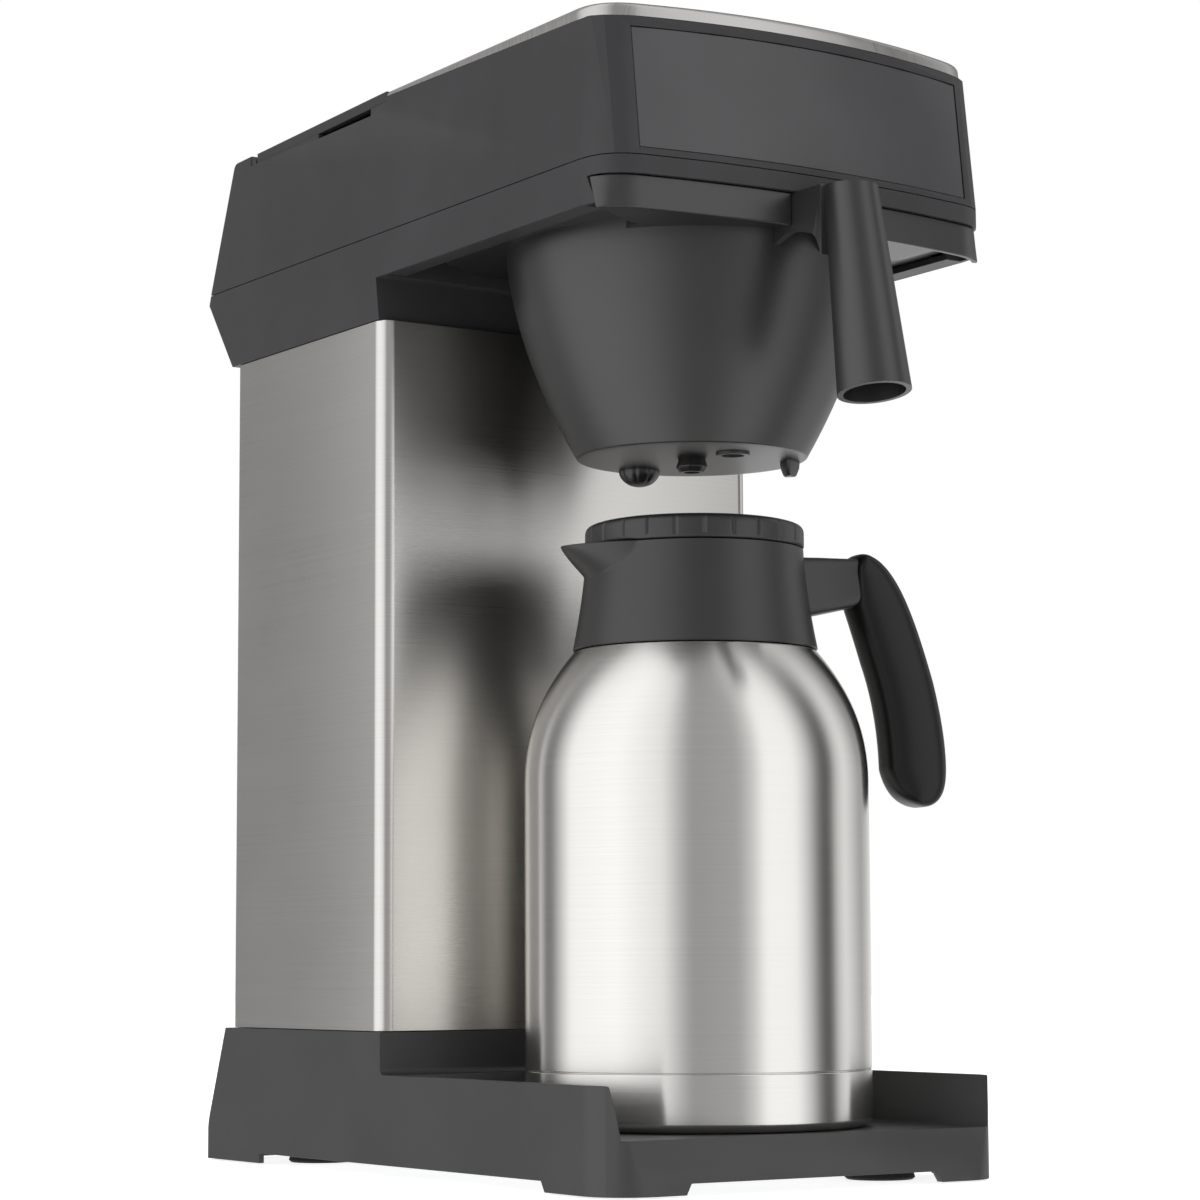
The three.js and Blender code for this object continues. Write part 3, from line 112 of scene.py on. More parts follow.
def piece(name, surfaces, material, body, *nodes, smooth=SHARP):
    """One object from several surfaces: corners that coincide are merged, which closes seams and
    poles, each shell's normals are turned outwards, and edges sharper than `smooth` stay sharp."""
    mesh = bpy.data.meshes.new(name)
    corners, faces, uvs, start = [], [], [], 0
    for points, own, uv in surfaces:
        corners.append(row(points))
        faces += [tuple(k + start for k in f) for f in own]
        caps = sum(len(f) for f in own[len(uv):])
        uvs.append(np.concatenate([uv.reshape(-1, 2), np.zeros((caps, 2))]))
        start += len(points)
    mesh.from_pydata(np.concatenate(corners).tolist(), [], faces)
    mesh.uv_layers.new(name="UVMap").data.foreach_set("uv", np.concatenate(uvs).ravel())
    work = bmesh.new()
    work.from_mesh(mesh)
    bmesh.ops.remove_doubles(work, verts=work.verts, dist=MERGE_NEW)
    bmesh.ops.dissolve_degenerate(work, edges=work.edges, dist=NO_LENGTH)
    bmesh.ops.recalc_face_normals(work, faces=work.faces)
    work.to_mesh(mesh)
    work.free()
    return finish_piece(name, mesh, material, body, nodes, smooth)


def finish_piece(name, mesh, material, body, nodes, smooth=SHARP):
    """A mesh made an object at the origin, shaded, that rides its body in place of its CAD nodes."""
    mesh.shade_smooth()
    mesh.set_sharp_from_angle(angle=math.radians(smooth))
    mesh.materials.clear()
    mesh.materials.append(material)
    obj = bpy.data.objects.new(name, mesh)
    bpy.context.scene.collection.objects.link(obj)
    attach(obj, body)
    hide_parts(*nodes)
    return obj


# ---- profiles and outlines -----------------------------------------------------------------------
def rounded(corners, closed=True, steps=6):
    """A line through corners (a, b, radius): each corner with a radius becomes an arc that touches
    both its edges, at a distance radius / tan(half the corner's angle) from the corner."""
    pts = [np.array(c[:2], float) for c in corners]
    out = []
    count = len(pts)
    for i, corner in enumerate(corners):
        radius = corner[2] if len(corner) > 2 else 0
        here = pts[i]
        if radius == 0 or (not closed and i in (0, count - 1)):
            out.append(here[None])
            continue
        before = pts[i - 1] - here
        after = pts[(i + 1) % count] - here
        before /= np.linalg.norm(before)
        after /= np.linalg.norm(after)
        half = math.acos(np.clip(before @ after, -1, 1)) / 2
        middle = (before + after) / np.linalg.norm(before + after)
        centre = here + middle * radius / math.sin(half)
        start = here + before * radius / math.tan(half) - centre
        end = here + after * radius / math.tan(half) - centre
        a0 = math.atan2(start[1], start[0])
        turn = (math.atan2(end[1], end[0]) - a0 + math.pi) % TAU - math.pi
        angle = a0 + turn * np.linspace(0, 1, steps + 1)
        out.append(centre + radius * np.stack([np.cos(angle), np.sin(angle)], 1))
    return np.concatenate(out)


def bezier(*controls, steps=16):
    """A Bezier curve led by its control points: neighbours are blended by t, and their blends again,
    until one point is left (de Casteljau)."""
    t = np.linspace(0, 1, steps + 1)[:, None]
    level = [np.array(c, float)[None] * np.ones_like(t) for c in controls]
    while len(level) > 1:
        level = [(1 - t) * a + t * b for a, b in zip(level, level[1:])]
    return level[0]


def resampled(line, count):
    """The same line with `count` points at even distances along it."""
    line = np.asarray(line, float)
    run = np.concatenate([[0], np.cumsum(np.linalg.norm(np.diff(line, axis=0), axis=1))])
    keep = np.concatenate([[True], np.diff(run) > 1e-9])
    at = np.linspace(0, run[-1], count)
    return np.stack([np.interp(at, run[keep], line[keep, k]) for k in range(line.shape[1])], 1)


def lathe(profile, axis_x, axis_y, around=128, radius_change=None):
    """A profile (radius, height) carried round a vertical axis. The optional change is a function of
    radius, height and angle that is added to the radius."""
    profile = np.asarray(profile, float)
    turn = np.ones((len(profile), 1)) * np.arange(around) * TAU / around
    r = profile[:, :1] * np.ones(around)
    z = profile[:, 1:2] * np.ones(around)
    if radius_change is not None:
        r = r + radius_change(r, z, turn)
    return grid(np.stack([axis_x + r * np.cos(turn), axis_y + r * np.sin(turn), z], -1))


def superellipse(power, count):
    """A closed section (depth, width) on |depth|^power + |width|^power = 1: each is the cosine or the
    sine of the angle, raised to 2 / power with its sign kept."""
    angle = np.arange(count) * TAU / count
    circle = np.stack([np.cos(angle), np.sin(angle)])
    return np.sign(circle) * np.abs(circle) ** (2 / power)


# ---- materials -----------------------------------------------------------------------------------
def new_material(name):
    """A material with its node tree and its Principled BSDF."""
    material = bpy.data.materials.new(name)
    material.use_nodes = True
    tree = material.node_tree
    return material, tree, tree.nodes["Principled BSDF"]


def add(tree, kind, **values):
    """A node with its plain values set; keys that name a socket set that socket."""
    node = tree.nodes.new(kind)
    for key, value in values.items():
        if hasattr(node, key):
            setattr(node, key, value)
        else:
            node.inputs[key.replace("_", " ")].default_value = value
    return node


def object_pattern(tree, scale=(1, 1, 1)):
    """Object coordinates through a Mapping node that stretches the pattern."""
    where = add(tree, "ShaderNodeTexCoord")
    stretch = add(tree, "ShaderNodeMapping")
    stretch.inputs["Scale"].default_value = scale
    tree.links.new(where.outputs["Object"], stretch.inputs["Vector"])
    return stretch.outputs["Vector"]


def noise(tree, vector, scale, detail=3.0, rough=0.55):
    """Noise over a pattern vector, from 0 to 1 and mostly within NOISE_LOW to NOISE_HIGH."""
    node = add(tree, "ShaderNodeTexNoise", Scale=scale, Detail=detail, Roughness=rough)
    tree.links.new(vector, node.inputs["Vector"])
    return node.outputs["Fac"]


NOISE_LOW, NOISE_HIGH = 0.3, 0.7


def spread(tree, value, low, high):
    """A noise value stretched so that its usual range runs from low to high."""
    node = add(tree, "ShaderNodeMapRange", From_Min=NOISE_LOW, From_Max=NOISE_HIGH,
               To_Min=low, To_Max=high)
    tree.links.new(value, node.inputs["Value"])
    return node.outputs["Result"]


def maths(tree, operation, first, second):
    """A Math node on two inputs, each another node's socket or a plain number."""
    node = add(tree, "ShaderNodeMath", operation=operation)
    for socket, value in zip(node.inputs, (first, second)):
        if isinstance(value, (int, float)):
            socket.default_value = value
        else:
            tree.links.new(value, socket)
    return node.outputs["Value"]


def shade(tree, value, colour, change, target):
    """The colour made darker and lighter by `change` with a pattern, into a colour socket."""
    ramp = add(tree, "ShaderNodeValToRGB")
    low, high = ramp.color_ramp.elements
    low.position, high.position = NOISE_LOW, NOISE_HIGH
    low.color = [c * (1 - change) for c in colour] + [1]
    high.color = [min(1, c * (1 + change)) for c in colour] + [1]
    tree.links.new(value, ramp.inputs["Fac"])
    tree.links.new(ramp.outputs["Color"], target)


def bump(tree, shader, height, strength, distance, under=None):
    """Relief of a pattern on the shader, over an earlier relief where `under` gives one."""
    node = add(tree, "ShaderNodeBump", Strength=strength, Distance=distance)
    tree.links.new(height, node.inputs["Height"])
    if under is not None:
        tree.links.new(under, node.inputs["Normal"])
    tree.links.new(node.outputs["Normal"], shader.inputs["Normal"])
    return node.outputs["Normal"]


GLOSSIER, DULLER = 0.05, 0.07       # how far the roughness strays with a pattern
CLOUDING = 0.025                    # how far it strays slowly over a brushed sheet
QUARTER_TURN = 0.25                 # Anisotropic Rotation counts in whole turns


def moulded(name, colour, rough=0.48, grain=2600, depth=0.00004, change=0.10, sheen=0.35):
    """Moulded plastic: a fine eroded grain with a slow unevenness of tone and gloss."""
    material, tree, shader = new_material(name)
    vector = object_pattern(tree)
    fine = noise(tree, vector, scale=grain, detail=2.0)
    slow = noise(tree, vector, scale=22, detail=4.0)
    shade(tree, slow, colour, change, shader.inputs["Base Color"])
    tree.links.new(spread(tree, fine, rough - GLOSSIER, rough + DULLER), shader.inputs["Roughness"])
    shader.inputs["Specular IOR Level"].default_value = sheen
    under = bump(tree, shader, slow, strength=0.05, distance=0.0006)
    bump(tree, shader, fine, strength=0.22, distance=depth, under=under)
    return material


def brushed(name, colour, stretch, rough=0.27, depth=0.000025, aniso=0.55, change=0.07, lines=1.0):
    """Brushed steel: long scratches, as noise stretched across the brushing, in tone, gloss and
    relief. The sheen spreads across the scratches, a quarter turn from the tangent round Z."""
    material, tree, shader = new_material(name)
    shader.inputs["Metallic"].default_value = 1.0
    shader.inputs["Anisotropic"].default_value = aniso
    shader.inputs["Anisotropic Rotation"].default_value = QUARTER_TURN
    tangent = add(tree, "ShaderNodeTangent", direction_type="RADIAL", axis="Z")
    tree.links.new(tangent.outputs["Tangent"], shader.inputs["Tangent"])
    hair = noise(tree, object_pattern(tree, stretch), scale=1.0, detail=4.0, rough=0.65)
    slow = noise(tree, object_pattern(tree), scale=9)
    shade(tree, hair, colour, change, shader.inputs["Base Color"])
    fine_gloss = spread(tree, hair, rough - GLOSSIER * lines, rough + DULLER * lines)
    gloss = maths(tree, "ADD", fine_gloss, spread(tree, slow, -CLOUDING, CLOUDING))
    tree.links.new(gloss, shader.inputs["Roughness"])
    bump(tree, shader, hair, strength=0.35 * lines, distance=depth)
    return material


def plain(name, colour, rough, metal=0.0, scale=900, change=0.12, depth=0.00003):
    """A small part's finish: fine mottling of tone, gloss and relief."""
    material, tree, shader = new_material(name)
    shader.inputs["Metallic"].default_value = metal
    vector = object_pattern(tree)
    fine = noise(tree, vector, scale)
    slow = noise(tree, vector, scale=60)
    shade(tree, slow, colour, change, shader.inputs["Base Color"])
    gloss = spread(tree, fine, rough - GLOSSIER - 0.01, rough + DULLER + 0.01)
    tree.links.new(gloss, shader.inputs["Roughness"])
    bump(tree, shader, fine, strength=0.25, distance=depth)
    return material


housing_plastic = moulded("housing plastic", (0.030, 0.030, 0.031), rough=0.40, sheen=0.6)
hood_plastic = moulded("hood plastic", (0.030, 0.030, 0.032), rough=0.42, sheen=0.3)
basket_plastic = moulded("basket plastic", (0.012, 0.012, 0.0125), rough=0.36, sheen=0.95)
fascia_satin = moulded("fascia satin", (0.030, 0.030, 0.033), rough=0.36, grain=3600, depth=0.00002,
                       sheen=0.8)
collar_plastic = moulded("collar plastic", (0.015, 0.0147, 0.015), rough=0.38, sheen=0.75)
grip_plastic = moulded("grip plastic", (0.006, 0.0058, 0.006), rough=0.34, grain=3200, depth=0.00002)
switch_plastic = moulded("switch plastic", (0.012, 0.012, 0.013), rough=0.28, grain=3200, depth=0.00001)
white_plastic = moulded("white plastic", (0.72, 0.71, 0.67), rough=0.5, change=0.04)
tank_plastic = moulded("tank plastic", (0.55, 0.57, 0.58), rough=0.42, change=0.05)
column_steel = brushed("column steel", (0.75, 0.735, 0.71), (6, 6, 5200), rough=0.30, aniso=0.8,
                       change=0.05, lines=0.5)
top_steel = brushed("top plate steel", (0.56, 0.55, 0.54), (3, 2600, 3), rough=0.30, aniso=0.0)
jug_steel = brushed("jug steel", (0.82, 0.805, 0.78), (8, 8, 4200), rough=0.22, aniso=0.85,
                    change=0.035, lines=0.35)
coil_steel = brushed("coil steel", (0.30, 0.27, 0.24), (900, 900, 900), rough=0.4)
rubber = plain("rubber", (0.012, 0.012, 0.012), 0.8)
silicone = plain("silicone", (0.62, 0.58, 0.52), 0.45, change=0.06)
zinc_steel = plain("zinc plated steel", (0.48, 0.49, 0.50), 0.42, metal=1.0)
heater_alloy = plain("heater alloy", (0.52, 0.53, 0.54), 0.5, metal=1.0, scale=500)

SLOT_LOOKS = {
    "housing_plastic": housing_plastic, "basket_plastic": basket_plastic,
    "fascia_satin": fascia_satin, "collar_plastic": collar_plastic, "grip_plastic": grip_plastic,
    "switch_plastic": switch_plastic, "white_plastic": white_plastic, "tank_plastic": tank_plastic,
    "column_steel": column_steel, "jug_steel": jug_steel, "coil_steel": coil_steel,
    "rubber": rubber, "silicone": silicone, "zinc_steel": zinc_steel, "heater_alloy": heater_alloy,
}
NODE_SLOT = {s["node"]: s["material_slot"] for s in frame["record"]["subparts"]}
NODE_BODY = {n: b for b, ns in frame["record"]["behaviour"]["bodies"].items() for n in ns}
OWN_LOOKS = {"top_plate": top_steel, "hood_shell": hood_plastic, "chassis": hood_plastic,
             "filler_lid": hood_plastic}


def look_of(node):
    """A node's material: its own where it has one, or else its record slot's."""
    return OWN_LOOKS.get(node, SLOT_LOOKS[NODE_SLOT[node]])


for node, obj in NODES.items():
    obj.data.materials.clear()
    obj.data.materials.append(look_of(node))


# ---- CAD housings with their edges eased ---------------------------------------------------------
FLAT = math.radians(0.6)            # triangles closer to one plane than this become one face
EASE_LIMIT = math.radians(30.0)     # edges sharper than this are rounded


def eased(node, width):
    """A merged copy of a CAD node whose flat faces are whole again, with every edge sharper than
    EASE_LIMIT rounded by the Bevel modifier over a width in metres."""
    mesh = NODES[node].data.copy()
    work = bmesh.new()
    work.from_mesh(mesh)
    bmesh.ops.remove_doubles(work, verts=work.verts, dist=MERGE_CAD)
    bmesh.ops.dissolve_limit(work, angle_limit=FLAT, verts=work.verts, edges=work.edges)
    work.to_mesh(mesh)
    work.free()
    obj = finish_piece(node + "_eased", mesh, look_of(node), NODE_BODY[node], [node])
    bevel = obj.modifiers.new("eased edges", "BEVEL")
    bevel.width = width
    bevel.segments = 2
    bevel.limit_method = "ANGLE"
    bevel.angle_limit = EASE_LIMIT
    bevel.use_clamp_overlap = True
    bevel.harden_normals = True
    bevel.miter_outer = "MITER_ARC"


EASE_WIDTHS = {"base_shell": 0.0018, "chassis": 0.0007, "hood_shell": 0.0008, "filler_lid": 0.0009,
               "column_shell": 0.00025, "basket_handle": 0.0008, "switch_frame": 0.0005,
               "power_rocker": 0.0005}
for node, width in EASE_WIDTHS.items():
    eased(node, width)


# ---- jug: turned steel ---------------------------------------------------------------------------
shell_low, shell_high = map(machine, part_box("jug_shell"))
cap_low, cap_high = map(machine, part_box("jug_base_cap"))
collar_low, collar_high = map(machine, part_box("jug_collar"))
lid_low, lid_high = map(machine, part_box("jug_lid"))
JUG_X, JUG_Y = (shell_low[:2] + shell_high[:2]) / 2
JUG_RADIUS = (shell_high[0] - shell_low[0]) / 2
STEEL = 0.7                         # thickness of the sheet
FOOT_EASE = 0.5                     # the wall's foot is drawn in by this
SHOULDER_START = 152.0
SHOULDER_HEIGHT = 62.0
SHOULDER_CURVE = 2.3
COLLAR_FOOT = 56.2
NECK_FOOT = COLLAR_FOOT - 3.4       # radius where the wall turns up into the neck
NECK_RADIUS = 46.0
JUG_TURN = -0.239                   # radians that the jug stands turned by, about +Z
FINE_AROUND = 160                   # sides of the big round pieces


def shoulder(inset, steps=28):
    """Jug wall from the full radius to the collar: the radius falls with a power of the height."""
    t = np.linspace(0, 1, steps + 1)
    radius = JUG_RADIUS - (JUG_RADIUS - COLLAR_FOOT + 0.6) * t ** SHOULDER_CURVE
    height = cap_low[2] + SHOULDER_START + SHOULDER_HEIGHT * t
    return np.stack([radius - inset, height - inset * t], 1)


def jug_body():
    """Closed sheet wall: the outside from the cap to the neck, then the inside back down."""
    foot, start, top = shell_low[2], collar_low[2], shell_high[2]
    outside = [[JUG_RADIUS - FOOT_EASE, foot]]
    outside += [[JUG_RADIUS, foot + up] for up in (FOOT_EASE, 30, 70, 110)]
    neck = [[NECK_FOOT, start], [NECK_RADIUS, start + 6], [NECK_RADIUS, top]]
    inside_neck = [[NECK_RADIUS - STEEL, top], [NECK_RADIUS - STEEL, start + 6 - STEEL],
                   [NECK_FOOT - STEEL, start - 0.8]]
    profile = np.concatenate([outside, shoulder(0), neck, inside_neck, shoulder(STEEL)[::-1],
                              [[JUG_RADIUS - STEEL, foot], outside[0]]])
    return lathe(profile, JUG_X, JUG_Y, FINE_AROUND)


def jug_cap():
    """Base cup: a shallow dished floor, a rounded foot, a straight wall and a tucked-in rim."""
    low, high, r = cap_low[2], cap_high[2], JUG_RADIUS
    seam = shell_low[2] - 0.3
    profile = rounded([[0, low + 2], [r - 18, low + 2, 2], [r - 14, low, 2], [r - 3.2, low, 2],
                       [r, low + 3.2, 2], [r, seam, 0.6], [r - 1.1, seam], [r - 1.1, high],
                       [r - 1.8, high], [r - 1.8, low + 5, 2], [r - 5, low + 3.2, 1],
                       [0, low + 3.2]], closed=False)
    return lathe(profile, JUG_X, JUG_Y, FINE_AROUND)


piece("jug_wall", [jug_body()], jug_steel, "jug", "jug_shell")
piece("jug_cup", [jug_cap()], jug_steel, "jug", "jug_base_cap")


# ---- jug: collar, spout and arm ------------------------------------------------------------------
COLLAR_TOP = collar_high[2]
COLLAR_RADIUS, COLLAR_CURVE = 50.0, 1.5
SPOUT_REACH, SPOUT_DROP = 65.4, 13.6
SPOUT_SPREAD = 0.65                 # radians to each side of the spout's middle
SPOUT_BLUNT = 0.0006                # keeps the spout's tip from being a point
LIP_DIP, CHANNEL_DIP = 0.7, 4.5     # how far the spout's edge and its channel sink
GRIP_REACH = 124.0
PLAIN, OUTSIDE, EDGE, CHANNEL = range(4)   # what the spout does to a ring of the collar


def collar_section():
    """The collar's closed section, as rows of radius, height and what the spout does to each."""
    foot, top = collar_low[2], COLLAR_TOP
    z = foot + 0.6 + (top - foot - 0.9) * np.linspace(0, 1, 72)
    r = COLLAR_RADIUS + (COLLAR_FOOT - COLLAR_RADIUS) * ((top - z) / (top - foot)) ** COLLAR_CURVE
    below = [[COLLAR_FOOT - 2.6, foot, PLAIN], [COLLAR_FOOT - 0.6, foot, PLAIN]]
    wall = np.stack([r, z, np.full_like(z, OUTSIDE)], 1)
    above = [[COLLAR_RADIUS - 0.4, top, OUTSIDE], [COLLAR_RADIUS - 1.2, top, EDGE],
             [COLLAR_RADIUS - 1.6, top - 0.3, EDGE], [NECK_RADIUS + 0.3, top, CHANNEL],
             [NECK_RADIUS + 0.3, top - 10, PLAIN], [NECK_RADIUS + 0.5, foot + 6.5, PLAIN]]
    return np.concatenate([below, wall, above])


def collar_ring():
    """Collar wall: its radius falls from foot to top with a power of the height left. The spout is a
    cone on it: it stands out in proportion to 1 - sqrt(a^2 + d^2), where a is the angle from the
    spout's middle and d the depth under the top, each as a share of the spout's. Under the lid's
    edge the spout's top is a shallow channel."""
    around = 360
    angle = np.arange(around) * TAU / around
    r, z, kind = collar_section().T[:, :, None] * np.ones(around)
    away = np.abs(angle - math.pi) / SPOUT_SPREAD
    down = (COLLAR_TOP - z) / SPOUT_DROP
    stand = np.clip(1.0 - np.sqrt(away ** 2 + down ** 2 + SPOUT_BLUNT), 0, 1)
    r = r + np.isin(kind, (OUTSIDE, EDGE)) * (SPOUT_REACH - COLLAR_RADIUS) * stand
    share = np.clip(1 - away, 0, 1)
    z = z - (kind == EDGE) * LIP_DIP * share - (kind == CHANNEL) * CHANNEL_DIP * share
    turn = angle + JUG_TURN
    points = np.stack([JUG_X + r * np.cos(turn), JUG_Y + r * np.sin(turn), z], -1)
    return grid(points, wrap_rows=True)


def handle_frame(points):
    """Points (reach, across, height) from the jug's axis, turned to the way the jug stands."""
    reach, across, height = np.moveaxis(np.asarray(points, float), -1, 0)
    c, s = math.cos(JUG_TURN), math.sin(JUG_TURN)
    return np.stack([JUG_X + reach * c - across * s, JUG_Y + reach * s + across * c, height], -1)


def between(upper, lower, half_width, power, count=44):
    """A limb between two side-view lines (reach, height) of equal length: each section is a
    superellipse whose long axis joins the two lines' points and whose width is half_width."""
    middle = (upper + lower) / 2
    half = (upper - lower) / 2
    depth, width = superellipse(power, count)
    side = middle[:, None, :] + half[:, None, :] * depth[None, :, None]
    across = np.asarray(half_width)[:, None] * width[None, :]
    return handle_frame(np.stack([side[..., 0], across, side[..., 1]], -1))


ARM_WIDTH, ARM_WAIST = 10.4, 1.2    # half width at the ends, and how much less in the middle
ARM_POWER, GRIP_POWER = 5.0, 2.9    # how square the sections are


def jug_arm():
    """The arm from the collar out to the grip, a soft-cornered beam whose half width is least in the
    middle, by half a sine wave."""
    count, z = 30, COLLAR_TOP
    top = resampled([[47.5, z - 1.4], [60, z - 1.1], [84.5, z - 1.1]], count)
    low = resampled(rounded([[47.5, z - 31], [58, z - 28.4, 7], [77, z - 24.2, 7], [84.5, z - 20.5]],
                            closed=False), count)
    width = ARM_WIDTH - ARM_WAIST * np.sin(np.pi * np.linspace(0, 1, count))
    return capped(between(top, low, width, ARM_POWER))


GRIP_WIDTH, GRIP_END = 12.0, 0.02   # half width, and the least half width where the ends close
SWELL = 0.05                        # share of the grip's length over which it swells from nothing
TAPER_START, TAPER = 0.86, 0.145    # share where its foot starts to narrow, and over how much


def jug_grip():
    """The paddle: its outer and inner side-view lines are Bezier curves that meet at the foot. The
    width swells from the arm along a quarter circle and closes at the foot along another."""
    r, z = GRIP_REACH, COLLAR_TOP
    outer = np.concatenate([
        bezier((r - 45.5, z - 0.4), (r - 43.5, z + 2.0), (r - 40, z + 1.4), steps=8),
        bezier((r - 40, z + 1.4), (r - 24, z - 2), (r - 15, z - 28), (r - 6, z - 58), steps=40)[1:],
        bezier((r - 6, z - 58), (r, z - 82), (r, z - 97), steps=20)[1:],
        bezier((r, z - 97), (r, z - 116), (r - 12, z - 116.4), steps=20)[1:]])
    inner = np.concatenate([
        bezier((r - 47, z - 4), (r - 47.6, z - 14), (r - 47, z - 25), steps=10),
        bezier((r - 47, z - 25), (r - 42, z - 40), (r - 39, z - 50), steps=14)[1:],
        bezier((r - 39, z - 50), (r - 31, z - 72), (r - 30.4, z - 99), steps=24)[1:],
        bezier((r - 30.4, z - 99), (r - 26, z - 115), (r - 12, z - 116.4), steps=20)[1:]])
    count = 96
    t = np.linspace(0, 1, count)
    swelling = np.sqrt(1 - (1 - np.clip(t / SWELL, 0, 1)) ** 2)
    closing = np.sqrt(1 - np.clip((t - TAPER_START) / TAPER, 0, 1) ** 2)
    width = np.maximum(GRIP_WIDTH * swelling * closing, GRIP_END)
    return grid(between(resampled(outer, count), resampled(inner, count), width, GRIP_POWER))


piece("jug_collar_moulding", [collar_ring(), jug_arm()], collar_plastic, "jug", "jug_collar", smooth=40)
piece("jug_paddle_grip", [jug_grip()], grip_plastic, "jug", "jug_grip", smooth=50)

LID_GROOVES, GROOVE_DEPTH = 24, 0.55
GROOVE_START = 0.965                # the wave's height past which a groove is cut
LID_RADIUS = (lid_high[0] - lid_low[0]) / 2


def jug_lid():
    """Lid: a rounded edge with shallow upright finger grooves, a raised rim and a dished top that
    falls to the brew hole."""
    z0, z1, r = lid_low[2], lid_high[2], LID_RADIUS
    profile = rounded([[5, z0], [r - 0.9, z0, 0.5], [r, z0 + 0.9, 0.6], [r, z1 - 1.5, 3.6],
                       [r - 5, z1, 2.0], [r - 9, z1 - 0.6, 2], [10, z1 - 4, 2], [5, z1 - 4.4, 0.4],
                       [5, z0 + 3]], closed=False, steps=8)

    def grooves(radius, height, turn):
        """Deepest where a squared cosine of the angle peaks, and fading out of the edge's band."""
        wave = np.cos(LID_GROOVES * turn / 2) ** 2
        cut = np.clip((wave - GROOVE_START) / (1 - GROOVE_START), 0, 1)
        band = np.clip((radius - (r - 2.2)) / 1.2, 0, 1) * np.clip((height - z0 - 1.2) / 0.8, 0, 1)
        return -GROOVE_DEPTH * cut * band

    return lathe(resampled(profile, 150), JUG_X, JUG_Y, 24 * LID_GROOVES, grooves)


piece("jug_lid_cap", [jug_lid()], collar_plastic, "jug_lid", "jug_lid", smooth=40)


# ---- filter basket -------------------------------------------------------------------------------
APRON_TOP = machine(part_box("filter_basket")[1])[2]
APRON_HEIGHT, APRON_THICK = 14.4, 3.0
APRON_END = 15.6                    # how far back the apron runs on the sides
APRON_SLANT = 4.9                   # how far its ends' foot comes forward, from its top to its foot
SLANT_START, SLANT_RUN = 5.0, 10.0  # where along the side that begins, and over how much it grows
HANDLE_HALF = 14.6                  # half the gap that the handle's root fills
BASKET_X, BASKET_Y = 0.0, 90.0
BOWL_RADIUS, FLOOR_RADIUS, BOWL_WALL = 86.0, 53.0, 2.5
BOWL_HEIGHT, BOWL_CURVE = 104.3, 1.8
BOWL_BOTTOM = APRON_TOP - 0.1 - BOWL_HEIGHT
OUTLET_BORE = 3.6
FLANGE_LOW, FLANGE_THICK = 423.8, 2.5
SHELF_HALF, SHELF_RAMP = 93.0, 22.0   # the web behind the apron thins out over the ramp, to no depth


def bowl_line(inset, steps=44):
    """Bowl wall from the floor up: the radius grows as 1 - (1 - t) to a power."""
    t = np.linspace(0, 1, steps + 1)
    radius = FLOOR_RADIUS + (BOWL_RADIUS - FLOOR_RADIUS) * (1 - (1 - t) ** BOWL_CURVE)
    return np.stack([radius - inset, BOWL_BOTTOM + inset + (BOWL_HEIGHT - inset) * t], 1)


def bowl():
    """Closed bowl: outlet hole, floor with a softened edge, outer wall, rim, inner wall and floor."""
    outside = bowl_line(0)
    inside = bowl_line(BOWL_WALL)
    edge = rounded([[FLOOR_RADIUS - 8, BOWL_BOTTOM], [FLOOR_RADIUS, BOWL_BOTTOM, 1.6], outside[3]],
                   closed=False)
    below = [[OUTLET_BORE, BOWL_BOTTOM], [20, BOWL_BOTTOM]]
    above = [[20, BOWL_BOTTOM + BOWL_WALL], [OUTLET_BORE, BOWL_BOTTOM + BOWL_WALL]]
    profile = np.concatenate([below, edge, outside[4:], inside[::-1], above, below[:1]])
    return lathe(profile, BASKET_X, BASKET_Y, FINE_AROUND)


HALF_WIDTH = 107.0
CORNER_RUN, CORNER_BACK = 19.0, 31.0   # where the front's corners bend, sideways and front to back
BULGE = 0.001                       # the front stands back by this times x squared
APRON_FACE = -7.3


def front_line(face, inset, half_width=HALF_WIDTH):
    """The housing's front in plan, from the left side round both bent corners to the right side: a
    parabola y = face + BULGE x^2 between two Bezier corners that leave it along its own slope."""
    half = half_width - inset
    bend = half - CORNER_RUN + inset
    rise, slope = BULGE * bend * bend, 2 * BULGE * bend
    y = face + inset + rise
    side = face + CORNER_BACK
    left = bezier((-half, side), (-half, y + slope * (half - bend)), (-bend, y), steps=24)
    middle = bezier((-bend, y), (0, y - slope * bend), (bend, y), steps=60)
    right = bezier((bend, y), (half, y + slope * (half - bend)), (half, side), steps=24)
    return np.concatenate([left, middle[1:], right[1:]])


def apron(side):
    """Half of the apron: a soft-edged strip carried along the housing's front line, from the
    slanted joint on the side to the handle's root. side is -1 for left and 1 for right."""
    line = front_line(APRON_FACE, 0)
    line = line[(line[:, 0] * side > HANDLE_HALF) & (line[:, 1] < APRON_END)]
    line = resampled(line, 64)[::-side]
    tangent = np.gradient(line, axis=0)
    tangent /= np.linalg.norm(tangent, axis=1)[:, None]
    inward = np.stack([tangent[:, 1], -tangent[:, 0]], 1) * side
    z0, z1 = APRON_TOP - APRON_HEIGHT, APRON_TOP
    section = rounded([[0, z0, 0.8], [0, z1, 0.5], [APRON_THICK, z1, 0.3], [APRON_THICK, z0, 0.8]])
    points = np.zeros((len(line), len(section), 3))
    points[..., :2] = line[:, None] + inward[:, None] * section[None, :, :1]
    points[..., 2] = section[:, 1]
    slant = np.clip((line[:, 1] - SLANT_START) / SLANT_RUN, 0, 1)[:, None]
    points[..., 1] -= slant * APRON_SLANT * (z1 - points[..., 2]) / APRON_HEIGHT
    return capped(points)


FLANGE_HALF, FLANGE_FRONT, FLANGE_REAR, FLANGE_CORNER = 103, 14, 182, 55


